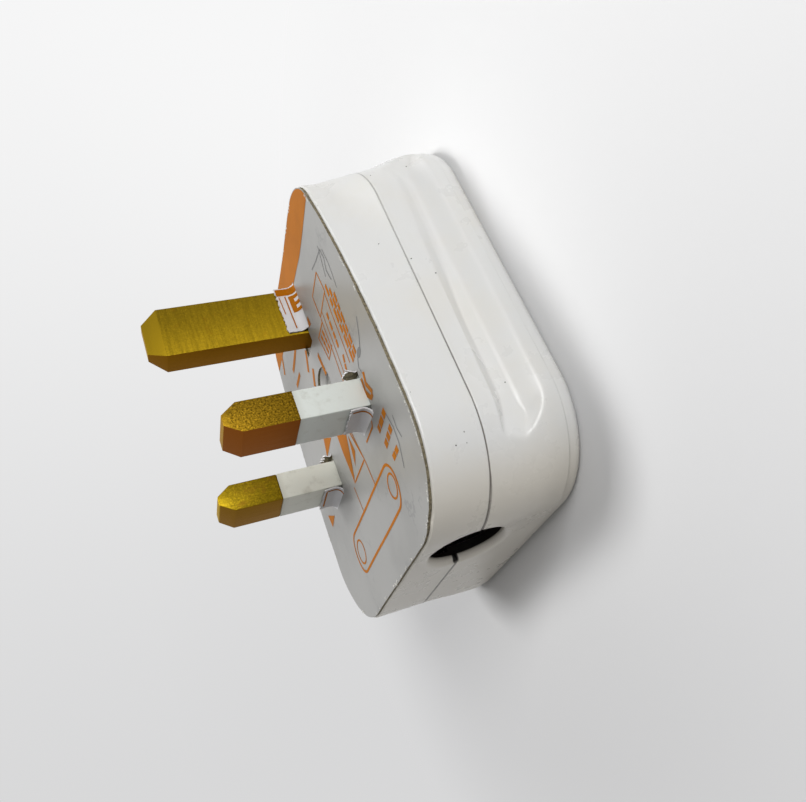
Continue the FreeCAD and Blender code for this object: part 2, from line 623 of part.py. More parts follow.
# Turned and formed small pieces
def solid_of(name, kind, x="0", y="0", z="0", along=None, **sizes):
    """Make a primitive, turned to lie along Y where asked."""
    item = doc.addObject(f"Part::{kind}", name)
    bind(item, **sizes)
    if along == "Y":
        item.Placement.Rotation = FreeCAD.Rotation(Vector(1, 0, 0), -90)
    put(item, x, y, z)
    return item


def block_of(name, wide, tall, deep, x, y, z):
    """Make a box about x and y, standing on z."""
    return solid_of(
        name,
        "Box",
        f"{x} - ({wide}) / 2",
        f"{y} - ({tall}) / 2",
        z,
        Length=wide,
        Width=tall,
        Height=deep,
    )


def cut(name, body, tool):
    """Take one solid from another."""
    item = doc.addObject("Part::Cut", name)
    item.Base = body
    item.Tool = tool
    return item


def fuse(name, *items):
    """Join solids that are one piece."""
    item = doc.addObject("Part::MultiFuse", name)
    item.Shapes = list(items)
    item.Refine = True
    return item


def group(name, items):
    """Hold equal, separate solids in one node."""
    item = doc.addObject("Part::Compound", name)
    item.Links = list(items)
    return item


def slotted_screw(name, x, y, low, head_radius, head_depth, radius, top):
    """Make a cheese-head screw that points up, with a screwdriver slot in its underside."""
    head = solid_of(f"{name}_head", "Cylinder", x, y, low, Radius=head_radius, Height=head_depth)
    shank = solid_of(
        f"{name}_shank",
        "Cylinder",
        x,
        y,
        f"{low} + {head_depth}",
        Radius=radius,
        Height=f"{top} - ({low}) - ({head_depth})",
    )
    slot = block_of(f"{name}_slot", f"2 * ({head_radius} + over_cut)", "slot_width", "slot_depth", x, y, low)
    return cut(name, fuse(f"{name}_form", head, shank), slot)


def fuse_clip(name, y):
    """Make a spring clip: a split ring round the fuse cap under a flat foot."""
    x = "-pin_offset"
    hold = "fuse_cap_radius + clip_play"
    outer = solid_of(
        f"{name}_outer",
        "Cylinder",
        x,
        f"{y} - clip_length / 2",
        "fuse_height",
        "Y",
        Radius=f"{hold} + clip_gauge",
        Height="clip_length",
    )
    foot_low = "clip_seat - clip_gauge"
    foot = block_of(f"{name}_foot", "clip_foot_wide", "clip_length", "clip_gauge", x, y, foot_low)
    inner = solid_of(
        f"{name}_inner",
        "Cylinder",
        x,
        f"{y} - clip_length",
        "fuse_height",
        "Y",
        Radius=hold,
        Height="2 * clip_length",
    )
    mouth = block_of(
        f"{name}_mouth",
        f"2 * ({hold} + 2 * clip_gauge)",
        "2 * clip_length",
        f"{hold} + clip_gauge",
        x,
        y,
        f"fuse_height - clip_wrap - ({hold}) - clip_gauge",
    )
    return cut(name, cut(f"{name}_ring", fuse(f"{name}_form", outer, foot), inner), mouth)


clips = [fuse_clip("pin_fuse_clip", "fuse_near"), fuse_clip("terminal_fuse_clip", "fuse_far")]


# Cartridge fuse, from the line pin to the line terminal
def fuse_round(name, start, length, radius):
    """Make a round on the fuse's axis."""
    return solid_of(name, "Cylinder", "-pin_offset", start, "fuse_height", "Y", Radius=radius, Height=length)


tube_radius = "fuse_cap_radius - fuse_cap_wall"
tube_start = "fuse_start + fuse_cap_wall"
tube_length = "fuse_length - 2 * fuse_cap_wall"
far_cap = "fuse_start + fuse_length - fuse_cap_length"
tube = cut(
    "fuse_tube",
    fuse_round("tube_round", tube_start, tube_length, tube_radius),
    fuse_round("tube_bore", f"{tube_start} - over_cut", f"{tube_length} + 2 * over_cut", "fuse_bore"),
)
element = fuse_round("fuse_element", tube_start, tube_length, "element_radius")
caps = [
    cut(
        "fuse_cap_pin_end",
        fuse_round("pin_cap_round", "fuse_start", "fuse_cap_length", "fuse_cap_radius"),
        fuse_round("pin_cap_room", tube_start, "fuse_cap_length", tube_radius),
    ),
    cut(
        "fuse_cap_terminal_end",
        fuse_round("far_cap_round", far_cap, "fuse_cap_length", "fuse_cap_radius"),
        fuse_round("far_cap_room", f"{far_cap} - fuse_cap_wall", "fuse_cap_length", tube_radius),
    ),
]

# Screws, cord grip and cover fastening
terminal_screws = group(
    "terminal_screws",
    [
        slotted_screw(
            f"{pin}_screw",
            x,
            y,
            "screw_low",
            "screw_head_radius",
            "screw_head_depth",
            "screw_radius",
            "screw_top",
        )
        for pin, x, y in (
            ("earth", "0", "earth_rise"),
            ("neutral", "pin_offset", "0"),
            ("line", "-block_offset", "terminal_middle"),
        )
    ],
)
grip_places = [(side, f"grip_middle {sign} grip_spacing / 2") for side, sign in (("near", "+"), ("far", "-"))]


def grip_round(name, x, radius):
    """Make a round through the cord grip bar's thickness."""
    return solid_of(name, "Cylinder", x, "-grip_drop", "grip_height", Radius=radius, Height="grip_thick")


grip_tall = "2 * grip_half_tall"
bar_middle = block_of(
    "bar_middle", "grip_spacing", grip_tall, "grip_thick", "grip_middle", "-grip_drop", "grip_height"
)
bar_ends = [grip_round(f"bar_{side}", x, "grip_half_tall") for side, x in grip_places]
bores = [grip_round(f"bar_bore_{side}", x, "grip_screw_radius") for side, x in grip_places]
bar_bores = group("bar_bores", bores)
grip_bar = cut("cord_grip_bar", fuse("bar_form", bar_middle, *bar_ends), bar_bores)
grip_screws = group(
    "cord_grip_screws",
    [
        slotted_screw(
            f"grip_screw_{side}",
            x,
            "-grip_drop",
            "grip_height - screw_head_depth",
            "grip_screw_head",
            "screw_head_depth",
            "grip_screw_radius",
            "grip_top + grip_screw_length",
        )
        for side, x in grip_places
    ],
)

screw_top = "face - fastening_sink"
fastening = solid_of(
    "fastening_head_round",
    "Cylinder",
    "0",
    "fastening_rise",
    f"{screw_top} - fastening_head_depth",
    Radius="fastening_head",
    Height="fastening_head_depth",
)
fastening_shank = solid_of(
    "fastening_shank",
    "Cylinder",
    "0",
    "fastening_rise",
    "cover_depth - fastening_reach",
    Radius="fastening_radius",
    Height=f"{screw_top} - fastening_head_depth - cover_depth + fastening_reach",
)
fastening_slot = block_of(
    "fastening_slot",
    "2 * (fastening_head + over_cut)",
    "slot_width",
    "slot_depth",
    "0",
    "fastening_rise",
    f"{screw_top} - slot_depth",
)
cover_screw = cut("cover_screw", fuse("fastening_form", fastening, fastening_shank), fastening_slot)


def ring_of(name, radius, bore, low, height):
    """Make a ring on the cover screw's axis."""
    full = solid_of(f"{name}_round", "Cylinder", "0", "fastening_rise", low, Radius=radius, Height=height)
    hole = solid_of(f"{name}_hole", "Cylinder", "0", "fastening_rise", low, Radius=bore, Height=height)
    return cut(name, full, hole)


washer = ring_of("cover_screw_washer", "washer_radius", "fastening_radius", "cover_depth", "washer_thick")
insert_low = "cover_depth - insert_length"
insert = ring_of("cover_insert", "insert_radius", "fastening_radius", insert_low, "insert_length")

# Wiring card, with tabs that stand up along the pins
card = new_body("wiring_card")
pad(card, "card_sheet", outline(card, "card_outline", "face", "card_inset"), "card_thick")
for pin, wide, tall, x, y in (
    ("earth", "earth_wide", "earth_tall", "0", "earth_rise"),
    ("neutral", "blade_wide", "blade_tall", "pin_offset", "0"),
    ("line", "blade_wide", "blade_tall", "-pin_offset", "0"),
):
    room = "2 * card_play"
    slot = rectangle(card, f"card_{pin}_slot", f"{wide} + {room}", f"{tall} + {room}", x, y, "face")
    pocket(card, f"card_{pin}_hole", slot, "card_thick", up=True)
screw_hole = circle(card, "card_screw_hole", "fastening_head + fastening_play", y="fastening_rise", z="face")
pocket(card, "card_screw_bore", screw_hole, "card_thick", up=True)
for pin, wide, tall, x, y in (
    ("earth", "card_thick", "earth_tab_tall", "earth_wide / 2 + card_play + card_thick / 2", "earth_rise"),
    ("neutral", "blade_tab_wide", "card_thick", "pin_offset", "-blade_tall / 2 - card_play - card_thick / 2"),
    ("line", "blade_tab_wide", "card_thick", "-pin_offset", "-blade_tall / 2 - card_play - card_thick / 2"),
):
    tab = rectangle(card, f"card_{pin}_tab_plan", wide, tall, x, y, "face")
    pad(card, f"card_{pin}_tab", tab, "card_tab_rise")

# Sub-parts, each written to its own file
PARTS = [base, cover, card, earth_pin, neutral_pin, line_pin, terminal, tube, element, *caps, *clips]
PARTS += [doc.getObject("neutral_sleeve"), doc.getObject("line_sleeve")]
PARTS += [terminal_screws, grip_bar, grip_screws, cover_screw, washer, insert]
for part in PARTS:
    part.Label = part.Name
doc.recompute()
for item in doc.Objects:
    if "Invalid" in item.State or "Error" in item.State:
        raise ValueError(f"{item.Name} failed: {item.State}")
for part in PARTS:
    if part.Shape.isNull() or not part.Shape.isValid():
        raise ValueError(f"{part.Label} has no valid shape")
os.makedirs("parts", exist_ok=True)
for part in PARTS:
    part.Shape.exportStep(f"parts/{part.Label}.step")
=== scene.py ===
"""Looks of a rewirable UK three pin plug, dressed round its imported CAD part.

The plug lies on the back of its cover with the pins up (+Z), the earth pin towards +Y and the cord
entry in the wall at -Y. The scene is in metres; the classes hold sizes in millimetres.
"""
import logging
import math
from collections.abc import Sequence
from dataclasses import dataclass, field
from enum import Enum
from functools import cached_property
from typing import NamedTuple

import bmesh
import bpy
import numpy as np
from mathutils import Matrix, Vector
from mathutils.geometry import delaunay_2d_cdt


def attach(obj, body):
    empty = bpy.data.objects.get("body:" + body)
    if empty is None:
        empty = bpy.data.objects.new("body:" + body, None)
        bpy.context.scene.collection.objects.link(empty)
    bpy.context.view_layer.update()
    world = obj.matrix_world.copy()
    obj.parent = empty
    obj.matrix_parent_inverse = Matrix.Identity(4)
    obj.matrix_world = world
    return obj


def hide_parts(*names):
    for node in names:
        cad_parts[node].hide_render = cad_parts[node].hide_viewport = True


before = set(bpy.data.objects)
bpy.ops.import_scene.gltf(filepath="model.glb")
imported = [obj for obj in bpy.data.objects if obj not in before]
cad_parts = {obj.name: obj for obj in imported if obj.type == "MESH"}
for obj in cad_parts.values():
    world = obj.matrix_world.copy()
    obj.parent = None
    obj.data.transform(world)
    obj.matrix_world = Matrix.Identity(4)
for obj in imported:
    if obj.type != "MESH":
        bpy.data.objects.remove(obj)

MM = 0.001
ROOT = "root"
PARTING = 11.7
"""Height of the seam between base and cover."""
PIN_FACE = 18.8
"""Height of the base's face that carries the pins."""
PIN_OFFSET = 11.115
"""Distance of the line and neutral pins from the middle."""
FASTENING = (0.0, 9.0, 0.0)
"""Foot of the cover screw's axis."""
SCREW_HOLE = 3.65
"""Radius of the hole for the cover screw's head."""
SUNK = 0.6
"""How far a post reaches into the plate that carries it."""
FLOOR_LEVEL = -0.05
"""Height of the floor under the plug."""
LIP_SHARES = (0.0, 0.06, 0.2, 0.42, 0.7, 1.0)
"""Rings on the lip at the seam, as shares of its rounding."""
WELD = 0.002
"""Points closer than this become one."""
FLAT_DEGREES = 1.0
"""Faces that meet at less than this angle become one."""
SHARP_DEGREES = 40.0
"""Edges sharper than this angle stay sharp."""
ARC_EXCESS = 0.57
"""How much longer a quarter turn's arc is than its radius, as a share of the radius."""
FULL_TURN = 6.28
"""A whole turn in radians."""
VECTOR_SOCKETS = ("Vector", "Along", "Normal")
"""Names of the effects' sockets that take vectors; the others take numbers."""
EAST, NORTH, WEST, SOUTH = (1.0, 0.0), (0.0, 1.0), (-1.0, 0.0), (0.0, -1.0)
"""Directions on the card: neutral side, earth end, line side and cord end."""

Colour = tuple[float, float, float]
Place = tuple[float, float, float]
Quad = tuple[float, float, float, float]
Point = tuple[float, float]
Face = tuple[int, ...]
Socket = bpy.types.NodeSocket
Node = bpy.types.Node
Tree = bpy.types.NodeTree
Item = bpy.types.Object
Material = bpy.types.Material
log = logging.getLogger("plug")


class Slot(Enum):
    """Material slots of the part's record."""

    HOUSING = "housing"
    CARD = "card"
    PIN = "pin_brass"
    SLEEVE = "sleeve"


class Axis(Enum):
    """Direction in which a pin is brushed."""

    ACROSS = (1.0, 0.06, 1.0)
    ALONG = (1.0, 1.0, 0.05)


# Shader graphs


class Graph:
    """A node tree that is being wired."""

    def __init__(self, tree: Tree) -> None:
        """Start on an empty tree.

        Args:
            tree: The tree to fill.
        """
        self.tree = tree
        tree.nodes.clear()

    def feed(self, socket: Socket, value: object) -> None:
        """Link a socket, or set its constant.

        Args:
            socket: The input to feed.
            value: Another socket, a number, or a tuple of numbers.
        """
        if isinstance(value, Socket):
            self.tree.links.new(value, socket)
            return
        if socket.type == "RGBA" and len(value) == 3:
            value = (*value, 1.0)
        socket.default_value = value

    def node(self, kind: str, feeds: dict | None = None, **settings: object) -> Node:
        """Add a node.

        Args:
            kind: The node's type name.
            feeds: Inputs by name or number, and what they take.
            settings: Properties of the node.

        Returns:
            The new node.
        """
        made = self.tree.nodes.new(kind)
        for key, value in settings.items():
            setattr(made, key, value)
        for key, value in (feeds or {}).items():
            self.feed(made.inputs[key], value)
        return made

    def calc(self, operation: str, *terms: object) -> Socket:
        """Add a math node.

        Args:
            operation: The math operation.
            terms: Its inputs.

        Returns:
            The result's socket.
        """
        return self.node("ShaderNodeMath", dict(enumerate(terms)), operation=operation).outputs[0]

    def times(self, first: object, second: object) -> Socket:
        """Multiply two values.

        Args:
            first: One value or its socket.
            second: The other.

        Returns:
            The product's socket.
        """
        return self.calc("MULTIPLY", first, second)

    def vector(self, operation: str, *terms: object) -> Socket:
        """Add a vector math node.

        Args:
            operation: The vector operation.
            terms: Its inputs.

        Returns:
            The result's socket, a number's for a length, a distance or a dot product.
        """
        feeds = {0: terms[0], 3: terms[1]} if operation == "SCALE" else dict(enumerate(terms))
        made = self.node("ShaderNodeVectorMath", feeds, operation=operation)
        return made.outputs[1 if operation in ("LENGTH", "DISTANCE", "DOT_PRODUCT") else 0]

    def split(self, vector: Socket) -> bpy.types.bpy_prop_collection:
        """Take a vector apart.

        Args:
            vector: The vector's socket.

        Returns:
            The sockets of x, y and z.
        """
        return self.node("ShaderNodeSeparateXYZ", {0: vector}).outputs

    def step(self, value: object, low: object, high: object) -> Socket:
        """Turn a value smoothly from 0 at low to 1 at high.

        Args:
            value: The value's socket.
            low: Where the result is 0.
            high: Where the result is 1.

        Returns:
            The result's socket.
        """
        feeds = {"Value": value, "From Min": low, "From Max": high}
        return self.node("ShaderNodeMapRange", feeds, interpolation_type="SMOOTHSTEP").outputs["Result"]

    def mix(self, factor: object, first: object, second: object) -> Socket:
        """Mix two colours.

        Args:
            factor: Share of the second colour.
            first: Colour at 0.
            second: Colour at 1.

        Returns:
            The mixed colour's socket.
        """
        return self.node("ShaderNodeMix", {0: factor, 6: first, 7: second}, data_type="RGBA").outputs[2]

    def noise(self, vector: object, scale: object, detail: float = 3.0, rough: float = 0.55) -> Socket:
        """Add a noise texture.

        Args:
            vector: Coordinates in millimetres.
            scale: Features per millimetre.
            detail: Octaves.
            rough: Weight of the finer octaves.

        Returns:
            The noise value's socket.
        """
        feeds = {"Vector": vector, "Scale": scale, "Detail": detail, "Roughness": rough}
        return self.node("ShaderNodeTexNoise", feeds).outputs[0]

    @cached_property
    def place(self) -> Socket:
        """Find the object's own coordinates.

        Returns:
            A socket with the place in millimetres.
        """
        metres = self.node("ShaderNodeTexCoord").outputs["Object"]
        return self.vector("SCALE", metres, 1.0 / MM)

    def use(self, group: Tree, **feeds: object) -> Socket:
        """Add a shared effect.

        Args:
            group: The effect's node group.
            feeds: Its inputs by name.

        Returns:
            The socket of the effect's output.
        """
        made = self.node("ShaderNodeGroup", node_tree=group)
        for key, value in feeds.items():
            self.feed(made.inputs[key], value)
        return made.outputs[0]


def shader_group(
    name: str, inputs: tuple[str, ...], output: str
) -> tuple[Graph, dict[str, Socket], Socket]:
    """Start a node group for an effect that several materials share.

    Args:
        name: The group's name.
        inputs: Names of its inputs.
        output: Name of its output.

    Returns:
        The graph, the sockets of its inputs by name and the socket that takes its result.
    """
    tree = bpy.data.node_groups.new(name, "ShaderNodeTree")
    for key in (*inputs, output):
        kind = "NodeSocketVector" if key in VECTOR_SOCKETS else "NodeSocketFloat"
        side = "OUTPUT" if key == output else "INPUT"
        tree.interface.new_socket(name=key, in_out=side, socket_type=kind)
    graph = Graph(tree)
    given = graph.node("NodeGroupInput").outputs
    return graph, {key: given[key] for key in inputs}, graph.node("NodeGroupOutput").inputs[output]


class Effects:
    """Node groups that the materials share."""

    def __init__(self) -> None:
        """Build every group once."""
        self.specks = self._specks()
        self.smudges = self._smudges()
        self.brushing = self._brushing()
        self.relief = self._relief()

    def _specks(self) -> Tree:
        """Build scattered dots.

        Returns:
            A group with a mask of dots.
        """
        graph, given, end = shader_group("specks", ("Vector", "Scale", "Size", "Share"), "Mask")
        feeds = {"Vector": given["Vector"], "Scale": given["Scale"]}
        cells = graph.node("ShaderNodeTexVoronoi", feeds).outputs
        dot = graph.calc("LESS_THAN", cells["Distance"], given["Size"])
        pick = graph.node("ShaderNodeSeparateColor", {0: cells["Color"]}).outputs[0]
        kept = graph.calc("LESS_THAN", pick, given["Share"])
        graph.feed(end, graph.times(dot, kept))
        return graph.tree

    def _smudges(self) -> Tree:
        """Build soft patches of dirt or tarnish.

        Returns:
            A group with a soft mask.
        """
        graph, given, end = shader_group("smudges", ("Vector", "Scale", "Low", "High"), "Mask")
        cloud = graph.noise(given["Vector"], given["Scale"], 5.0, 0.6)
        graph.feed(end, graph.step(cloud, given["Low"], given["High"]))
        return graph.tree

    def _brushing(self) -> Tree:
        """Build fine parallel lines, as a file or a rolling mill leaves.

        Returns:
            A group with the lines' value.
        """
        graph, given, end = shader_group("brushing", ("Vector", "Along", "Scale"), "Lines")
        drawn = graph.vector("MULTIPLY", given["Vector"], given["Along"])
        graph.feed(end, graph.noise(drawn, given["Scale"], 2.0, 0.6))
        return graph.tree

    def _relief(self) -> Tree:
        """Build a faint unevenness of a surface.

        Returns:
            A group with a normal.
        """
        graph, given, end = shader_group("relief", ("Vector", "Scale", "Strength", "Depth"), "Normal")
        height = graph.noise(given["Vector"], given["Scale"], 3.0, 0.5)
        feeds = {"Strength": given["Strength"], "Distance": given["Depth"], "Height": height}
        graph.feed(end, graph.node("ShaderNodeBump", feeds).outputs["Normal"])
        return graph.tree


EFFECTS = Effects()


# Finishes


@dataclass(frozen=True)
class Finish:
    """A plain finish, and the base of the others.

    Attributes:
        name: The material's name.
        colour: Base colour, linear.
        roughness: Surface roughness.
        metallic: Share of metal.
        relief_scale: Unevenness, features per millimetre.
        relief_depth: Unevenness, depth in metres.
        specular: Strength of the mirror-like reflection.
    """

    name: str
    colour: Colour
    roughness: float = 0.4
    metallic: float = 0.0
    relief_scale: float = 1.2
    relief_depth: float = 0.00001
    specular: float = 0.5

    def material(self) -> Material:
        """Build the material.

        Returns:
            The new material.
        """
        made = bpy.data.materials.new(self.name)
        made.use_nodes = True
        graph = Graph(made.node_tree)
        feeds = {"Metallic": self.metallic, "Specular IOR Level": self.specular}
        shader = graph.node("ShaderNodeBsdfPrincipled", feeds)
        graph.feed(shader.inputs["Base Color"], self.tone(graph))
        graph.feed(shader.inputs["Roughness"], self.gloss(graph))
        graph.feed(shader.inputs["Normal"], self.surface(graph))
        self.extra(graph, shader)
        graph.node("ShaderNodeOutputMaterial", {"Surface": shader.outputs[0]})
        made.diffuse_color = (*self.colour, 1.0)
        return made

    def scaled(self, factor: float) -> Colour:
        """Brighten or darken the base colour.

        Args:
            factor: How many times as bright it gets.

        Returns:
            The changed colour, of at most 1.
        """
        return tuple(min(1.0, factor * part) for part in self.colour)

    def tone(self, graph: Graph) -> object:
        """Choose the base colour.

        Args:
            graph: The material's graph.

        Returns:
            A colour or its socket.
        """
        cloud = graph.use(EFFECTS.smudges, Vector=graph.place, Scale=0.25, Low=0.35, High=0.75)
        return graph.mix(cloud, self.colour, self.scaled(0.88))

    def gloss(self, graph: Graph) -> object:
        """Choose the roughness.

        Args:
            graph: The material's graph.

        Returns:
            A number or its socket.
        """
        return self.roughness

    def surface(self, graph: Graph) -> Socket:
        """Choose the normal.

        Args:
            graph: The material's graph.

        Returns:
            The normal's socket.
        """
        size = {"Scale": self.relief_scale, "Depth": self.relief_depth}
        return graph.use(EFFECTS.relief, Vector=graph.place, Strength=0.5, **size)

    def extra(self, graph: Graph, shader: Node) -> None:
        """Set what only some finishes have.

        Args:
            graph: The material's graph.
            shader: The principled shader.
        """


@dataclass(frozen=True)
class Plastic(Finish):
    """Glossy white moulding with dust specks, small stains and a dark seam, with painted shade and painted
    warm bounce light at the cord end.

    Attributes:
        speck: Colour of the specks and of the seam's dark line.
        stain: Colour of the stains.
        stains: Stains as x, y, z and radius in millimetres.
        seam: Height of the seam, whose dark line is dirt and painted shade, and half of that line's width.
        entry: Middle of the cord entry, x, y and z, behind which the inside is painted dark as shade.
        painted_entry_shade: Colour of the painted shade inside behind the cord entry and in its notches.
        painted_entry_shade_edge: Distance from the entry's axis at which the painted shade begins, and at
            which it is full.
        painted_entry_shade_end: Depth behind the entry at which the painted shade ends, and at which it is
            still full.
        notch_shade_half: Half height and half width of the notches at the entry's sides, painted dark as
            shade.
        painted_warm_bounce: Colour of the cord end, a painted warm bounce light.
        painted_warm_bounce_run: Where that painted warm light begins along y, and where it is full.
    """

    speck: Colour = (0.20, 0.18, 0.16)
    stain: Colour = (0.42, 0.22, 0.08)
    stains: tuple[Quad, ...] = ()
    seam: Point = (PARTING, 0.1)
    entry: Place = (8.0, -19.35, PARTING)
    painted_entry_shade: Colour = (0.022, 0.02, 0.018)
    painted_entry_shade_edge: Point = (7.6, 7.0)
    painted_entry_shade_end: Point = (28.0, 22.0)
    notch_shade_half: Point = (0.5, 6.0)
    painted_warm_bounce: Colour = (0.80, 0.755, 0.665)
    painted_warm_bounce_run: Point = (-13.0, -19.5)

    def tone(self, graph: Graph) -> object:
        """Choose the base colour.

        Args:
            graph: The material's graph.

        Returns:
            The colour's socket.
        """
        warm = graph.use(EFFECTS.smudges, Vector=graph.place, Scale=0.09, Low=0.4, High=0.7)
        warmer = (self.colour[0], self.colour[1] * 0.985, self.colour[2] * 0.955)
        shade = graph.mix(warm, self.colour, warmer)
        dots = graph.use(EFFECTS.specks, Vector=graph.place, Scale=0.42, Size=0.04, Share=0.08)
        shade = graph.mix(graph.times(dots, 0.75), shade, self.speck)
        for x, y, z, radius in self.stains:
            far = graph.vector("DISTANCE", graph.place, (x, y, z))
            ragged = graph.calc("ADD", far, graph.times(graph.noise(graph.place, 2.4), radius * 0.8))
            shade = graph.mix(graph.step(ragged, radius * 1.5, radius * 0.7), shade, self.stain)
        across, along, height = graph.split(graph.place)
        # Painted warm bounce light: less green and blue towards the cord end.
        shade = graph.mix(graph.step(along, *self.painted_warm_bounce_run), shade, self.painted_warm_bounce)
        off = graph.calc("ABSOLUTE", graph.calc("SUBTRACT", height, self.seam[0]))
        # Dark seam: a dirty joint, widened near the cord end as painted shade of the groove.
        shade = graph.mix(self._seam_dirt_and_shade(graph, along, off), shade, self.speck)
        # Painted shade: near black inside the cord entry and in the notches beside it.
        return graph.mix(self._painted_entry_shade_mask(graph, (across, along, height), off), shade, self.painted_entry_shade)

    def _seam_dirt_and_shade(self, graph: Graph, along: Socket, off: Socket) -> Socket:
        """Find the seam's dark line: dirt, widened near the cord end as painted shade of the groove there,
        and fainter towards the earth end.

        Args:
            graph: The material's graph.
            along: The place's y.
            off: Distance from the seam.

        Returns:
            The dark line's socket.
        """
        wide = graph.calc("MULTIPLY_ADD", graph.step(along, -16.0, -19.0), 1.1, 1.0)
        uneven = graph.calc("MULTIPLY_ADD", graph.noise(graph.place, 0.5), 0.5, 0.55)
        fainter = graph.calc("MULTIPLY_ADD", graph.step(along, -8.0, 20.0), -0.55, 1.0)
        half = self.seam[1]
        dirt = graph.step(graph.calc("DIVIDE", off, wide), half * 1.3, half * 0.6)
        return graph.times(dirt, graph.times(uneven, fainter))

    def _painted_entry_shade_mask(self, graph: Graph, place: tuple[Socket, Socket, Socket], off: Socket) -> Socket:
        """Find the painted shade inside behind the cord entry and in the notches at the entry's sides.

        Args:
            graph: The material's graph.
            place: Coordinates x, y and z in millimetres.
            off: Distance from the seam.

        Returns:
            The mask's socket.
        """
        across, along, height = place
        x, y, z = self.entry
        beside = graph.calc("SUBTRACT", across, x)
        above = graph.calc("SUBTRACT", height, z)
        squares = [graph.calc("POWER", side, 2.0) for side in (beside, above)]
        near = graph.step(graph.calc("SQRT", graph.calc("ADD", *squares)), *self.painted_entry_shade_edge)
        painted_entry_shade = graph.times(near, graph.step(along, y - 0.25, y + 0.1))
        tall, wide = self.notch_shade_half
        notch = graph.step(graph.calc("ABSOLUTE", beside), wide, wide - 0.5)
        notch = graph.times(graph.step(off, tall, tall - 0.2), notch)
        notch = graph.times(notch, graph.step(along, y - 1.05, y - 0.7))
        shallow = graph.step(along, *(y + depth for depth in self.painted_entry_shade_end))
        return graph.times(graph.calc("MAXIMUM", painted_entry_shade, notch), shallow)

    def gloss(self, graph: Graph) -> object:
        """Choose the roughness, duller where it is handled.

        Args:
            graph: The material's graph.

        Returns:
            The roughness's socket.
        """
        worn = graph.use(EFFECTS.smudges, Vector=graph.place, Scale=0.14, Low=0.35, High=0.75)
        return graph.calc("ADD", self.roughness, graph.times(worn, 0.03))


@dataclass(frozen=True)
class Brass(Finish):
    """Brushed or grainy brass with brown tarnish, a painted highlight on facets that face up and painted
    shade on faces towards -Y.

    Attributes:
        metallic: Share of metal.
        tarnish_and_shade: Colour of the tarnish, also used as the painted shade on faces towards -Y.
        tarnish_share: How much of the surface it takes, from 0 to 1.
        brushed: Direction of the brushing.
        lines: Strength of the brushing.
        grain: Strength of the sparkling grain.
        shade_side: How much of the painted brown shade the faces towards -Y take.
        tip: How much brighter the facets that face up are, as at the tip: a painted highlight.
        edge: Tint of the reflection at slanting views.
    """

    metallic: float = 1.0
    tarnish_and_shade: Colour = (0.16, 0.085, 0.03)
    tarnish_share: float = 0.3
    brushed: Axis = Axis.ALONG
    lines: float = 0.3
    grain: float = 0.0
    shade_side: float = 0.6
    tip: float = 1.5
    edge: Colour = (0.95, 0.76, 0.62)

    def _lines(self, graph: Graph) -> Socket:
        """Find the brushing.

        Args:
            graph: The material's graph.

        Returns:
            The brushing value's socket.
        """
        return graph.use(EFFECTS.brushing, Vector=graph.place, Along=self.brushed.value, Scale=3.0)

    def tone(self, graph: Graph) -> object:
        """Choose the base colour.

        Args:
            graph: The material's graph.

        Returns:
            The colour's socket.
        """
        low = 0.72 - 0.4 * self.tarnish_share
        patch = graph.use(EFFECTS.smudges, Vector=graph.place, Scale=0.32, Low=low, High=low + 0.25)
        drawn = graph.step(self._lines(graph), 0.35, 0.7)
        shade = graph.mix(graph.times(drawn, self.lines), self.scaled(1.25), self.scaled(0.62))
        sparkle = graph.noise(graph.place, 4.2, 2.0, 0.7)
        pits = graph.times(graph.step(sparkle, 0.5, 0.36), self.grain)
        shade = graph.mix(pits, shade, self.scaled(0.3))
        glint = graph.times(graph.step(sparkle, 0.54, 0.68), self.grain)
        shade = graph.mix(glint, shade, self.scaled(2.6))
        shade = graph.mix(graph.times(patch, 0.85), shade, self.tarnish_and_shade)
        normal = graph.node("ShaderNodeNewGeometry").outputs["Normal"]
        _, down, up = graph.split(normal)
        # Painted highlight: facets that face up are brighter.
        shade = graph.mix(graph.step(up, 0.15, 0.3), shade, self.scaled(self.tip))
        # Painted shade: faces towards -Y take the tarnish colour.
        facing = graph.step(graph.times(down, -1.0), 0.3, 0.8)
        return graph.mix(graph.times(facing, self.shade_side), shade, self.tarnish_and_shade)

    def gloss(self, graph: Graph) -> object:
        """Choose the roughness, uneven with the brushing.

        Args:
            graph: The material's graph.

        Returns:
            The roughness's socket.
        """
        return graph.calc("ADD", self.roughness, graph.times(self._lines(graph), 0.18))

    def surface(self, graph: Graph) -> Socket:
        """Choose the normal from brushing and grain.

        Args:
            graph: The material's graph.

        Returns:
            The normal's socket.
        """
        grit = graph.times(graph.noise(graph.place, 9.0, 2.0, 0.7), self.grain * 1.6)
        height = graph.calc("ADD", grit, graph.times(self._lines(graph), self.lines))
        feeds = {"Strength": 0.6, "Distance": 0.00003, "Height": height}
        return graph.node("ShaderNodeBump", feeds).outputs["Normal"]

    def extra(self, graph: Graph, shader: Node) -> None:
        """Keep the metal's colour at slanting views.

        Args:
            graph: The material's graph.
            shader: The principled shader.
        """
        shader.inputs["Specular Tint"].default_value = (*self.edge, 1.0)


@dataclass(frozen=True)
class Sleeve(Finish):
    """Satin sleeve plastic, soiled towards the brass and at its edges.

    Attributes:
        soil: Colour of the dirt.
        top: Height of the sleeve's end in millimetres.
    """

    soil: Colour = (0.30, 0.27, 0.18)
    top: float = 27.8

    def tone(self, graph: Graph) -> object:
        """Choose the base colour.

        Args:
            graph: The material's graph.

        Returns:
            The colour's socket.
        """
        height = graph.split(graph.place)[2]
        end = graph.step(height, self.top - 1.1, self.top + 0.2)
        cloud = graph.use(EFFECTS.smudges, Vector=graph.place, Scale=0.45, Low=0.5, High=0.8)
        dirt = graph.times(graph.calc("MAXIMUM", graph.times(end, 0.6), cloud), 0.45)
        shade = graph.mix(dirt, self.colour, self.soil)
        dots = graph.use(EFFECTS.specks, Vector=graph.place, Scale=0.8, Size=0.07, Share=0.22)
        return graph.mix(graph.times(dots, 0.6), shade, self.soil)


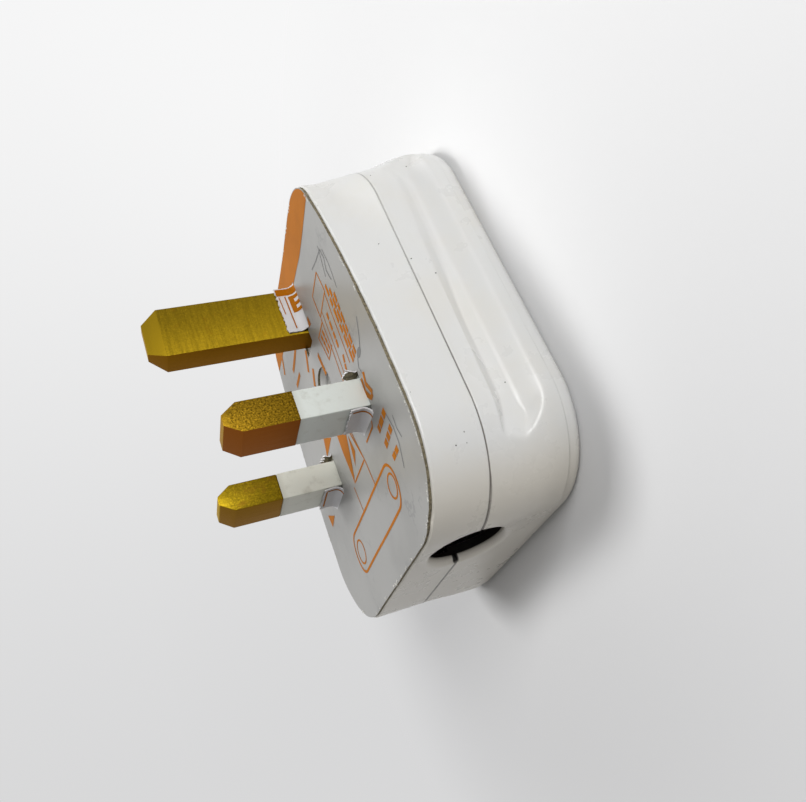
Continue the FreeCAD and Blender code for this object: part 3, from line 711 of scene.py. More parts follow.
@dataclass(frozen=True)
class Card(Finish):
    """Silvery card with creases and smudges.

    Attributes:
        smudge: Colour of the smudges.
    """

    smudge: Colour = (0.20, 0.20, 0.20)

    def tone(self, graph: Graph) -> object:
        """Choose the base colour.

        Args:
            graph: The material's graph.

        Returns:
            The colour's socket.
        """
        wide = graph.use(EFFECTS.smudges, Vector=graph.place, Scale=0.06, Low=0.4, High=0.65)
        shade = graph.mix(graph.times(wide, 0.35), self.colour, self.scaled(0.62))
        bent = graph.noise(graph.place, 0.14, 4.0, 0.6)
        vein = graph.calc("ABSOLUTE", graph.calc("SUBTRACT", bent, 0.5))
        thin = graph.times(graph.step(vein, 0.022, 0.004), 0.45)
        patch = graph.use(EFFECTS.smudges, Vector=graph.place, Scale=0.11, Low=0.52, High=0.66)
        return graph.mix(graph.times(thin, patch), shade, self.smudge)


@dataclass(frozen=True)
class Fibre(Finish):
    """Ragged cut edge of card or board."""

    def tone(self, graph: Graph) -> object:
        """Choose the base colour.

        Args:
            graph: The material's graph.

        Returns:
            The colour's socket.
        """
        grit = graph.noise(graph.place, 3.0, 4.0, 0.7)
        return graph.mix(graph.step(grit, 0.35, 0.68), self.scaled(0.5), self.scaled(1.35))


WHITE = Plastic(
    "white_moulding",
    (0.80, 0.80, 0.785),
    0.27,
    relief_scale=0.4,
    relief_depth=0.000003,
    stains=((18.3, -18.9, 14.4, 0.3),),
)
EARTH_BRASS = Brass(
    "earth_pin_brass",
    (0.165, 0.107, 0.005),
    0.36,
    tarnish_and_shade=(0.205, 0.09, 0.004),
    tarnish_share=0.3,
    brushed=Axis.ACROSS,
    lines=0.4,
    grain=0.2,
    shade_side=0.95,
)
NEUTRAL_BRASS = Brass(
    "neutral_pin_brass",
    (0.16, 0.093, 0.006),
    0.38,
    tarnish_and_shade=(0.23, 0.068, 0.008),
    lines=0.12,
    grain=0.8,
    shade_side=0.97,
)
LINE_BRASS = Brass(
    "line_pin_brass",
    (0.20, 0.135, 0.006),
    0.38,
    tarnish_and_shade=(0.20, 0.10, 0.009),
    tarnish_share=0.4,
    lines=0.2,
    grain=0.4,
    shade_side=0.9,
)
SLEEVE_NEUTRAL = Sleeve("neutral_sleeve_plastic", (0.75, 0.785, 0.74), 0.45)
# Paler than the neutral sleeve: partly its own tint, partly painted light that offsets the neutral pin's
# shadow on it.
SLEEVE_LINE_BRIGHTENED = Sleeve("line_sleeve_plastic_brightened", (0.85, 0.855, 0.76), 0.45)
CARD = Card("silver_card", (0.365, 0.362, 0.348), 0.36, metallic=0.25, specular=0.3)
SMEAR = Finish("card_smear", (0.19, 0.19, 0.187), 0.5, specular=0.2)
DUST = Finish("dark_dust", (0.07, 0.065, 0.06), 0.8)
FUZZ = Finish("card_fuzz", (0.74, 0.73, 0.68), 0.8)
TAB_WHITE = Card("white_card", (0.74, 0.73, 0.74), 0.45, smudge=(0.35, 0.33, 0.30))
CARD_EDGE = Fibre("card_edge", (0.20, 0.17, 0.105), 0.8)
INK = Finish("orange_ink", (0.45, 0.145, 0.003), 0.5, specular=0.08)
TERMINAL = Brass("terminal_brass", (0.48, 0.33, 0.08), 0.35, tarnish_share=0.35, shade_side=0.2)
SPRING = Brass("spring_brass", (0.50, 0.30, 0.10), 0.3, tarnish_share=0.2, shade_side=0.0)
STEEL = Finish("plated_steel", (0.55, 0.55, 0.54), 0.3, 1.0)
CAPS = Finish("nickel_caps", (0.62, 0.60, 0.55), 0.25, 1.0)
CERAMIC = Finish("fuse_ceramic", (0.72, 0.70, 0.64), 0.55)
FIBRE = Fibre("red_fibre", (0.28, 0.07, 0.04), 0.8)
INNER = {
    "line_terminal": TERMINAL,
    "terminal_screws": TERMINAL,
    "pin_fuse_clip": SPRING,
    "terminal_fuse_clip": SPRING,
    "fuse_tube": CERAMIC,
    "fuse_element": STEEL,
    "fuse_cap_pin_end": CAPS,
    "fuse_cap_terminal_end": CAPS,
    "cord_grip_bar": FIBRE,
    "cord_grip_screws": STEEL,
    "cover_screw": STEEL,
    "cover_screw_washer": FIBRE,
    "cover_insert": TERMINAL,
}


# Meshes


def smoothstep(low: float | np.ndarray, high: float | np.ndarray, value: np.ndarray) -> np.ndarray:
    """Rise smoothly from 0 at low to 1 at high.

    Args:
        low: Where the result is 0.
        high: Where the result is 1.
        value: The values to turn.

    Returns:
        The turned values.
    """
    share = np.clip((value - low) / (high - low), 0.0, 1.0)
    return share * share * (3.0 - 2.0 * share)


def ramp(value: np.ndarray, soft: float | np.ndarray) -> np.ndarray:
    """Rise straight from 0 to 1, with a short round at both ends.

    Args:
        value: The values to turn, 0 at the foot and 1 at the head.
        soft: Half of each round's length.

    Returns:
        The turned values.
    """

    def bent(run: np.ndarray) -> np.ndarray:
        """Follow 0, then the value itself, with a round between.

        Args:
            run: The values.

        Returns:
            The followed values.
        """
        return np.where(run > soft, run, np.where(run < -soft, 0.0, (run + soft) ** 2 / (4.0 * soft)))

    return (bent(value) - bent(value - 1.0)).clip(0.0, 1.0)


def link(name: str, data: object) -> Item:
    """Make an object and link it to the scene.

    Args:
        name: The object's name.
        data: Its mesh, lamp or camera.

    Returns:
        The new object.
    """
    made = bpy.data.objects.new(name, data)
    bpy.context.scene.collection.objects.link(made)
    return made


def new_object(name: str, points: np.ndarray, faces: list[Face], materials: list[Material]) -> Item:
    """Make an object from points in millimetres.

    Args:
        name: The object's name.
        points: Rows of x, y and z.
        faces: Tuples of point numbers.
        materials: The object's materials.

    Returns:
        The new object, linked to the scene.
    """
    mesh = bpy.data.meshes.new(name)
    mesh.from_pydata((np.asarray(points, float) * MM).tolist(), [], faces)
    mesh.validate()
    for material in materials:
        mesh.materials.append(material)
    return link(name, mesh)


def bands(rows: int, count: int, first: int = 0) -> list[Face]:
    """Join closed rings of points, each with the next.

    Args:
        rows: Number of rings.
        count: Points in each ring.
        first: Number of the first point.

    Returns:
        Tuples of point numbers.
    """
    faces: list[Face] = []
    for row in range(rows - 1):
        low, high = first + row * count, first + (row + 1) * count
        for index in range(count):
            after = (index + 1) % count
            faces.append((low + index, low + after, high + after, high + index))
    return faces


def outward(item: Item) -> None:
    """Turn an object's normals outwards.

    Args:
        item: The object.
    """
    form = bmesh.new()
    form.from_mesh(item.data)
    bmesh.ops.recalc_face_normals(form, faces=form.faces)
    form.to_mesh(item.data)
    form.free()


def soften(item: Item, degrees: float) -> None:
    """Shade an object smooth, but for edges sharper than an angle.

    Args:
        item: The object.
        degrees: The angle.
    """
    item.data.polygons.foreach_set("use_smooth", [True] * len(item.data.polygons))
    item.data.set_sharp_from_angle(angle=math.radians(degrees))


def bake(item: Item) -> None:
    """Take an object's modifiers into its mesh.

    Args:
        item: The object.
    """
    graph = bpy.context.evaluated_depsgraph_get()
    mesh = bpy.data.meshes.new_from_object(item.evaluated_get(graph))
    item.modifiers.clear()
    old = item.data
    item.data = mesh
    bpy.data.meshes.remove(old)


def boolean(item: Item, tool: Item, operation: str) -> None:
    """Join a tool to an object or cut it from the object, and remove the tool.

    Args:
        item: The object that changes.
        tool: The tool.
        operation: UNION or DIFFERENCE.
    """
    change = item.modifiers.new(operation.lower(), "BOOLEAN")
    change.operation = operation
    change.object = tool
    change.solver = "EXACT"
    bake(item)
    bpy.data.objects.remove(tool)


class Tool:
    """A set of closed rounds and blocks for a boolean."""

    def __init__(self, name: str) -> None:
        """Start an empty set.

        Args:
            name: The tool's name.
        """
        self.name = name
        self.points: list[Place] = []
        self.faces: list[Face] = []

    def lathe(
        self, centre: Place, profile: Sequence[Point], along_y: bool = False, steps: int = 64
    ) -> None:
        """Add a round form.

        Args:
            centre: A point on its axis.
            profile: Radius and height along the axis, from one end to the other.
            along_y: Whether the axis runs along Y and not along Z.
            steps: Points round the axis.
        """
        first = len(self.points)
        for radius, height in profile:
            for index in range(steps):
                turn = 2.0 * math.pi * index / steps
                flat = (radius * math.cos(turn), radius * math.sin(turn))
                move = (flat[0], height, flat[1]) if along_y else (flat[0], flat[1], height)
                self.points.append(tuple(a + b for a, b in zip(centre, move)))
        self.faces += bands(len(profile), steps, first)
        for foot in (first, first + (len(profile) - 1) * steps):
            self.faces.append(tuple(range(foot, foot + steps)))

    def block(self, low: Place, high: Place) -> None:
        """Add a block.

        Args:
            low: Its lowest corner.
            high: Its highest corner.
        """
        first = len(self.points)
        for z in (low[2], high[2]):
            self.points += [(low[0], low[1], z), (high[0], low[1], z)]
            self.points += [(high[0], high[1], z), (low[0], high[1], z)]
        for face in ((0, 1, 2, 3), (4, 5, 6, 7), (0, 1, 5, 4), (1, 2, 6, 5), (2, 3, 7, 6), (3, 0, 4, 7)):
            self.faces.append(tuple(first + corner for corner in face))

    def object(self) -> Item:
        """Make the tool's object.

        Returns:
            The object, with its normals outwards.
        """
        made = new_object(self.name, np.array(self.points), self.faces, [])
        outward(made)
        return made


class Steps(NamedTuple):
    """Points on the runs of a housing outline.

    Attributes:
        low: On a corner at the cord end.
        side: On a side.
        high: On a corner at the earth end.
        top: On the straight edge at the earth end.
        foot: On the straight edge at the cord end.
    """

    low: int = 44
    side: int = 270
    high: int = 28
    top: int = 36
    foot: int = 40


@dataclass(frozen=True)
class HousingPlan:
    """Outlines of the housing in plan, in millimetres.

    Attributes:
        half_width: Half of the pin face's greatest width.
        widest_drop: Greatest width below the line and neutral pins.
        side_radius: Radius of the pin face's bowed sides.
        top_rise: Earth end above the line and neutral pins.
        bottom_drop: Cord end below the line and neutral pins.
        top_corner: Pin face's corner radius at the earth end.
        bottom_corner: Corner radius at the cord end.
        parting: Half width and earth end's corner radius at the parting plane.
        rim: Half width and earth end's corner radius of the cover's rim.
        steps: Points on the runs of each outline.
    """

    half_width: float = 24.7
    widest_drop: float = 5.0
    side_radius: float = 130.0
    top_rise: float = 32.5
    bottom_drop: float = 20.4
    top_corner: float = 7.2
    bottom_corner: float = 12.0
    parting: Point = (24.5, 11.0)
    rim: Point = (25.8, 9.0)
    steps: Steps = Steps()

    @staticmethod
    def arc(centre: Point, radius: float, start: float, end: float, steps: int) -> np.ndarray:
        """Walk an arc without its end.

        Args:
            centre: The arc's centre.
            radius: Its radius.
            start: First angle.
            end: Last angle.
            steps: Points on it.

        Returns:
            Rows of x and y.
        """
        turn = np.linspace(start, end, steps, endpoint=False)
        return np.stack([centre[0] + radius * np.cos(turn), centre[1] + radius * np.sin(turn)], 1)

    @staticmethod
    def line(start: np.ndarray, end: np.ndarray, steps: int) -> np.ndarray:
        """Walk a line without its end.

        Args:
            start: First point.
            end: Last point.
            steps: Points on it.

        Returns:
            Rows of x and y.
        """
        share = np.linspace(0.0, 1.0, steps, endpoint=False)[:, None]
        return np.asarray(start) * (1.0 - share) + np.asarray(end) * share

    def _close(self, right: list[np.ndarray], top: Point, bottom: Point) -> np.ndarray:
        """Mirror the right half and join both halves.

        Args:
            right: Runs of the right half, from the cord end to the earth end.
            top: Where the earth end's straight edge begins.
            bottom: Where the cord end's straight edge ends.

        Returns:
            The closed ring, anticlockwise.
        """
        half = np.concatenate(right + [np.array([top])])
        edge = self.line(np.array(top), np.array((-top[0], top[1])), self.steps.top)[1:]
        left = half[::-1] * np.array([-1.0, 1.0])
        foot = self.line(np.array((-bottom[0], bottom[1])), np.array(bottom), self.steps.foot)[1:]
        return np.concatenate([half, edge, left, foot])

    def outline(self, inset: float = 0.0) -> np.ndarray:
        """Walk the outline of base, parting plane and pin face.

        Args:
            inset: Distance inside the outline.

        Returns:
            Rows of x and y.
        """
        bow = self.side_radius - inset
        middle = (self.half_width - self.side_radius, -self.widest_drop)
        low_radius, high_radius = self.bottom_corner - inset, self.top_corner - inset
        bottom, top = inset - self.bottom_drop, self.top_rise - inset
        centres = []
        for radius, height in ((low_radius, bottom + low_radius), (high_radius, top - high_radius)):
            across = math.sqrt((bow - radius) ** 2 - (height - middle[1]) ** 2)
            centres.append((middle[0] + across, height))
        low, high = centres
        start, end = (math.atan2(y - middle[1], x - middle[0]) for x, y in centres)
        right = [
            self.arc(low, low_radius, -math.pi / 2, start, self.steps.low),
            self.arc(middle, bow, start, end, self.steps.side),
            self.arc(high, high_radius, end, math.pi / 2, self.steps.high),
        ]
        return self._close(right, (high[0], top), (low[0], bottom))

    def straight(self, half_width: float, corner: float, inset: float = 0.0) -> np.ndarray:
        """Walk an outline with straight sides.

        Args:
            half_width: Half of its width.
            corner: Its corner radius at the earth end.
            inset: Distance inside the outline.

        Returns:
            Rows of x and y, point for point with the pin face's outline.
        """
        side, top, bottom = half_width - inset, self.top_rise - inset, inset - self.bottom_drop
        low_radius, high_radius = self.bottom_corner - inset, corner - inset
        low = (side - low_radius, bottom + low_radius)
        high = (side - high_radius, top - high_radius)
        right = [
            self.arc(low, low_radius, -math.pi / 2, 0.0, self.steps.low),
            self.line(np.array((side, low[1])), np.array((side, high[1])), self.steps.side),
            self.arc(high, high_radius, 0.0, math.pi / 2, self.steps.high),
        ]
        return self._close(right, (high[0], top), (low[0], bottom))


PLAN = HousingPlan()


@dataclass
class Shell:
    """A hollow moulding, walked from its inner floor over its lip to its outer face.

    Attributes:
        name: The piece's name.
        node: The CAD node that it stands for.
        parting: Height of the parting plane.
        lip: Rounding of the lip at the parting plane.
        cord: Middle of the cord entry, x and z.
        cord_radius: Radius of the cord entry.
        cord_lip: Rounding of the cord entry's mouth.
        notch: Radius of the notches beside the cord entry, inside and at the wall's face.
        post: Radius of the post round the cover screw.
        sharp: Edges sharper than this angle stay sharp.
    """

    name: str
    node: str
    parting: float = PARTING
    lip: float = 0.2
    cord: Point = (8.0, PARTING)
    cord_radius: float = 4.8
    cord_lip: float = 0.9
    notch: Point = (0.34, 0.5)
    post: float = 5.2
    sharp: float = 34.0

    def normals(self, ring: np.ndarray) -> np.ndarray:
        """Find a ring's outward directions.

        Args:
            ring: Rows of x and y, anticlockwise.

        Returns:
            Unit rows of x and y.
        """
        along = np.roll(ring, -1, 0) - np.roll(ring, 1, 0)
        along /= np.linalg.norm(along, axis=1)[:, None]
        return np.stack([along[:, 1], -along[:, 0]], 1)

    @staticmethod
    def rounding(radius: float, depth: float) -> float:
        """Find how far a rounded edge lies inside its wall.

        Args:
            radius: The edge's radius.
            depth: Distance from the face that the wall meets.

        Returns:
            The distance inside the wall.
        """
        if depth >= radius:
            return 0.0
        return radius - math.sqrt(radius * radius - (radius - depth) ** 2)

    @staticmethod
    def at(ring: np.ndarray, z: float) -> np.ndarray:
        """Put a flat ring at a height.

        Args:
            ring: Rows of x and y.
            z: The height.

        Returns:
            Rows of x, y and z.
        """
        return np.column_stack([ring, np.full(len(ring), z)])

    def skin(self, rings: list[np.ndarray], material: Material) -> Item:
        """Join rings into a closed form.

        Args:
            rings: Rings of equal length, the first and the last of which are filled.
            material: The moulding's material.

        Returns:
            The new object.
        """
        count = len(rings[0])
        last = (len(rings) - 1) * count
        faces = [tuple(range(count)), *bands(len(rings), count), tuple(range(last, last + count))]
        made = new_object(self.name, np.concatenate(rings), faces, [material])
        outward(made)
        return made

    def mouth(self, tool: Tool) -> None:
        """Add the cord entry and its rounded mouth to a tool.

        Args:
            tool: The cutting tool.
        """
        wall = -PLAN.bottom_drop
        deep = wall + self.cord_lip
        wide = self.cord_radius + 1.6
        profile = [(wide, wall + 4.4), (wide, deep + 0.3), (self.cord_radius + 0.02, deep + 0.12)]
        for index in range(10):
            turn = math.radians(10 * index)
            reach = self.cord_lip * (1.0 - math.cos(turn))
            profile.append((self.cord_radius + reach, wall + self.cord_lip * (1.0 - math.sin(turn))))
        profile.append((self.cord_radius + self.cord_lip + 0.05, wall - 1.0))
        tool.lathe((self.cord[0], 0.0, self.cord[1]), profile, along_y=True, steps=128)

    def notches(self) -> Tool:
        """Make the tool for the small notches where the seam meets the cord entry.

        Returns:
            The cutting tool.
        """
        tool = Tool(f"{self.name}_notches")
        wall = -PLAN.bottom_drop
        inner, outer = self.notch
        for side in (-1.0, 1.0):
            place = (self.cord[0] + side * (self.cord_radius + 0.25), 0.0, self.cord[1])
            profile = [(inner, wall + 3.4), (inner, wall + 0.6), (outer, wall - 1.0)]
            tool.lathe(place, profile, along_y=True, steps=32)
        return tool

    def finish(self, made: Item, posts: Tool, cuts: Tool) -> Item:
        """Add the posts, cut the openings and put the moulding in the CAD node's place.

        Args:
            made: The moulding's plain form.
            posts: What stands inside it.
            cuts: What is cut away besides the cord entry.

        Returns:
            The dressed piece.
        """
        self.mouth(cuts)
        boolean(made, posts.object(), "UNION")
        boolean(made, cuts.object(), "DIFFERENCE")
        boolean(made, self.notches().object(), "DIFFERENCE")
        soften(made, self.sharp)
        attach(made, ROOT)
        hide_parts(self.node)
        return made


@dataclass
class BaseShell(Shell):
    """The base moulding, whose sides flare below a soft ridge, with its bosses and pin slots.

    Attributes:
        face: Height of the pin face.
        plate: Thickness behind the pin face.
        wall: Thickness of the side wall.
        edge: Rounding of the pin face's edge.
        band: Depth of the upright band below the pin face.
        ridge: Softness of the ridge below the band.
        grips: Places of the cord grip's posts.
        grip_post: Radius and foot of these posts.
        grip_bore: Radius, foot and head of their screw holes.
        screw_way: Radii and heights of the cover screw's way through the base.
        slots: Middle and size of the pins' slots.
    """

    face: float = PIN_FACE
    plate: float = 2.4
    wall: float = 2.0
    edge: float = 0.35
    band: float = 2.2
    ridge: float = 0.14
    grips: tuple[Point, Point] = ((16.25, -13.0), (-0.25, -13.0))
    grip_post: Point = (3.0, 8.6)
    grip_bore: Place = (1.5, 8.0, 14.2)
    screw_way: tuple[Point, ...] = (
        (SCREW_HOLE, 20.0),
        (SCREW_HOLE, 15.4),
        (2.25, 15.4),
        (2.25, 12.5),
        (4.0, 12.5),
        (4.0, 11.2),
    )
    slots: tuple[Quad, ...] = (
        (0.0, 21.55, 4.2, 9.6),
        (PIN_OFFSET, 0.4, 6.55, 5.0),
        (-PIN_OFFSET, 0.4, 6.55, 5.0),
    )

    def share(self, z: float) -> float:
        """Find how much of the outline is the pin face's, and not the parting plane's.

        Args:
            z: Height of the ring.

        Returns:
            A share from 0 to 1.
        """
        run = (z - self.parting) / (self.face - self.band - self.parting)
        mix = min(1.0, max(0.0, 0.5 + 0.5 * (1.0 - run) / self.ridge))
        return 1.0 + (run - 1.0) * mix - self.ridge * mix * (1.0 - mix)

    def build(self, material: Material) -> Item:
        """Build the base.

        Args:
            material: The moulding's material.

        Returns:
            The dressed piece.
        """
        upper, lower = PLAN.outline(), PLAN.straight(*PLAN.parting)
        mouth = PLAN.straight(*PLAN.parting, self.wall)
        ceiling = self.face - self.plate
        rings = [self.at(PLAN.outline(self.wall), ceiling), self.at(mouth, self.parting)]
        heights = [self.parting + self.lip * share for share in LIP_SHARES]
        heights += list(np.linspace(self.parting + 0.35, self.face - self.edge - 0.1, 42))
        shares = (1.0, 0.7, 0.45, 0.25, 0.1, 0.02, 0.0)
        heights += [self.face - self.edge * share for share in shares]
        for z in heights:
            ring = lower + (upper - lower) * max(0.0, self.share(z))
            inset = self.rounding(self.lip, z - self.parting)
            inset += self.rounding(self.edge, self.face - z)
            rings.append(self.at(ring - self.normals(ring) * inset, z))
        made = self.skin(rings, material)
        posts, cuts = Tool("base_posts"), Tool("base_cuts")
        posts.lathe(FASTENING, [(self.post, self.parting), (self.post, ceiling + SUNK)])
        cuts.lathe(FASTENING, self.screw_way)
        radius, foot = self.grip_post
        bore, low, high = self.grip_bore
        for x, y in self.grips:
            posts.lathe((x, y, 0.0), [(radius, foot), (radius, ceiling + SUNK)])
            cuts.lathe((x, y, 0.0), [(bore, low), (bore, high)])
        for x, y, wide, tall in self.slots:
            corner = (x + wide / 2, y + tall / 2, self.face + 0.5)
            cuts.block((x - wide / 2, y - tall / 2, ceiling - 0.5), corner)
        return self.finish(made, posts, cuts)


@dataclass
class CoverShell(Shell):
    """The cover moulding, with its flared rim and finger scoops.

    Attributes:
        plate: Thickness of the back.
        wall: Thickness of the side wall.
        back_edge: Rounding of the back's edge.
        flare: Heights between which the sides flare to the rim.
        step: Height and depth of the fine step in the rim.
        scoop: Depth of the finger scoops, and their floor's distance from the middle.
        crest: Height of their upper edge near the cord end, and its fall per millimetre of length.
        slope: Height of the slope below the upper edge, and its gain towards the earth end.
        slope_round: Rounding of that slope, and its gain towards the earth end.
        gain: Places between which both gains grow.
        foot: Height of their lower edge, and the rise over which they reach their depth.
        nose: Their end at the cord end: its place, how far and below which height it draws back,
            and the power of that curve.
        nose_slope: Length of the slope at that end, and its rounding.
        insert: Radius and depth of the bore for the threaded insert.
    """

    plate: float = 2.0
    wall: float = 2.6
    back_edge: float = 1.0
    flare: Point = (3.8, PARTING)
    step: Point = (1.95, 0.28)
    scoop: Point = (1.7, 23.5)
    crest: Point = (9.5, 0.018)
    slope: Point = (1.5, 0.9)
    slope_round: Point = (0.1, 0.3)
    gain: Point = (0.0, 22.0)
    foot: Point = (3.7, 2.4)
    nose: Quad = (-14.4, 8.3, 9.6, 2.4)
    nose_slope: Point = (1.3, 0.22)
    insert: Point = (3.2, 6.8)

    def hollow(self, ring: np.ndarray, z: float) -> np.ndarray:
        """Find how deep the finger scoops are.

        Args:
            ring: Rows of x and y.
            z: Height of the ring.

        Returns:
            Depth at each point.
        """
        y = ring[:, 1]
        gain = smoothstep(*self.gain, y)
        slope, rounded = (first + more * gain for first, more in (self.slope, self.slope_round))
        crest = self.crest[0] - self.crest[1] * (y + 14.0)
        section = ramp((crest - z) / slope, rounded) * ramp((z - self.foot[0]) / self.foot[1], 0.15)
        start, reach, height, power = self.nose
        end = start + reach * np.clip((height - z) / reach, 0.0, 1.2) ** power
        run, soft = self.nose_slope
        cut = self.scoop[0] * section * ramp((y - end + 0.6) / run, soft)
        room = np.clip(np.abs(ring[:, 0]) - self.scoop[1], 0.0, None)
        least = 0.5 * (cut + room - np.sqrt((cut - room) ** 2 + 0.01))
        return np.clip(least, 0.0, None)

    def build(self, material: Material) -> Item:
        """Build the cover.

        Args:
            material: The moulding's material.

        Returns:
            The dressed piece.
        """
        near, far = PLAN.straight(*PLAN.parting), PLAN.straight(*PLAN.rim)
        bed, mouth = PLAN.straight(*PLAN.rim, self.wall), PLAN.straight(*PLAN.parting, self.wall)
        rings = [self.at(bed, self.plate), self.at(mouth, self.parting)]
        heights = [self.parting - self.lip * share for share in LIP_SHARES]
        heights += list(np.linspace(self.parting - 0.35, self.step[0] + 0.2, 96))
        heights += [self.step[0] + move for move in (0.12, 0.06, 0.0, -0.06, -0.12, -0.25)]
        heights += list(np.linspace(self.step[0] - 0.4, self.back_edge + 0.1, 4))
        shares = (1.0, 0.82, 0.64, 0.48, 0.34, 0.21, 0.11, 0.04, 0.01, 0.0)
        heights += [self.back_edge * share for share in shares]
        for z in heights:
            ring = near + (far - near) * (1.0 - float(smoothstep(*self.flare, np.array(z))))
            inset = self.rounding(self.lip, self.parting - z) + self.rounding(self.back_edge, z)
            above = float(smoothstep(self.step[0] - 0.1, self.step[0] + 0.1, np.array(z)))
            inset += self.step[1] * (1.0 - above)
            depth = inset + self.hollow(ring, z)
            rings.append(self.at(ring - self.normals(ring) * np.reshape(depth, (-1, 1)), z))
        made = self.skin(rings, material)
        posts, cuts = Tool("cover_post"), Tool("cover_cuts")
        posts.lathe(FASTENING, [(self.post, self.plate - SUNK), (self.post, self.parting)])
        bore, depth = self.insert
        cuts.lathe(FASTENING, [(bore, self.parting - depth), (bore, self.parting + 0.5)])
        return self.finish(made, posts, cuts)


@dataclass
class HardPiece:
    """A hard piece with the CAD node's own form and rounded edges.

    Attributes:
        node: The CAD node.
        finish: Its finish.
        slot: Its material slot; not used.
        edge: Rounding of its edges.
        degrees: Edges sharper than this are rounded.
    """

    node: str
    finish: Finish
    slot: Slot
    edge: float = 0.18
    degrees: float = 20.0

    def build(self) -> Item:
        """Build the piece.

        Returns:
            The dressed piece.
        """
        form = bmesh.new()
        form.from_mesh(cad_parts[self.node].data)
        bmesh.ops.remove_doubles(form, verts=form.verts, dist=WELD * MM)
        flat = math.radians(FLAT_DEGREES)
        bmesh.ops.dissolve_limit(form, angle_limit=flat, verts=form.verts, edges=form.edges)
        bmesh.ops.recalc_face_normals(form, faces=form.faces)
        name = f"{self.node}_dressed"
        mesh = bpy.data.meshes.new(name)
        form.to_mesh(mesh)
        form.free()
        made = link(name, mesh)
        mesh.materials.append(self.finish.material())
        bevel = made.modifiers.new("edge", "BEVEL")
        bevel.width = self.edge * MM
        bevel.segments = 3
        bevel.limit_method = "ANGLE"
        bevel.angle_limit = math.radians(self.degrees)
        bevel.harden_normals = False
        bake(made)
        soften(made, SHARP_DEGREES)
        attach(made, ROOT)
        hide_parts(self.node)
        return made


# Wiring card


def inside(points: np.ndarray, ring: np.ndarray) -> np.ndarray:
    """Tell which points lie within a closed ring.

    Args:
        points: Rows of x and y.
        ring: The ring's corners.

    Returns:
        True for each point within.
    """
    found = np.zeros(len(points), bool)
    for (x0, y0), (x1, y1) in zip(ring, np.roll(ring, -1, 0)):
        crosses = (y0 > points[:, 1]) != (y1 > points[:, 1])
        if y1 != y0:
            found ^= crosses & (points[:, 0] < (x1 - x0) * (points[:, 1] - y0) / (y1 - y0) + x0)
    return found


def patch(ring: np.ndarray, holes: list[np.ndarray], spacing: float) -> tuple[np.ndarray, np.ndarray]:
    """Fill a ring with triangles fine enough to follow a bent sheet.

    Args:
        ring: The outer ring.
        holes: Rings that stay open.
        spacing: Distance between inner points.

    Returns:
        Points as rows of x and y, and triangles as rows of point numbers.
    """
    low, high = ring.min(0), ring.max(0)
    axes = [np.arange(low[axis], high[axis], spacing) for axis in (0, 1)]
    grid = np.stack(np.meshgrid(*axes), -1).reshape(-1, 2) + spacing / 2
    free = inside(grid, ring)
    for hole in holes:
        free &= ~inside(grid, hole)
    loops = [ring, *holes]
    points = np.concatenate([*loops, grid[free]])
    edges = []
    start = 0
    for loop in loops:
        edges += [(start + index, start + (index + 1) % len(loop)) for index in range(len(loop))]
        start += len(loop)
    made = delaunay_2d_cdt([Vector(point) for point in points], edges, [], 0, 1e-6)
    flat = np.array([tuple(point) for point in made[0]])
    triangles = np.array(made[2])
    middles = flat[triangles].mean(1)
    kept = inside(middles, ring)
    for hole in holes:
        kept &= ~inside(middles, hole)
    return flat, triangles[kept]


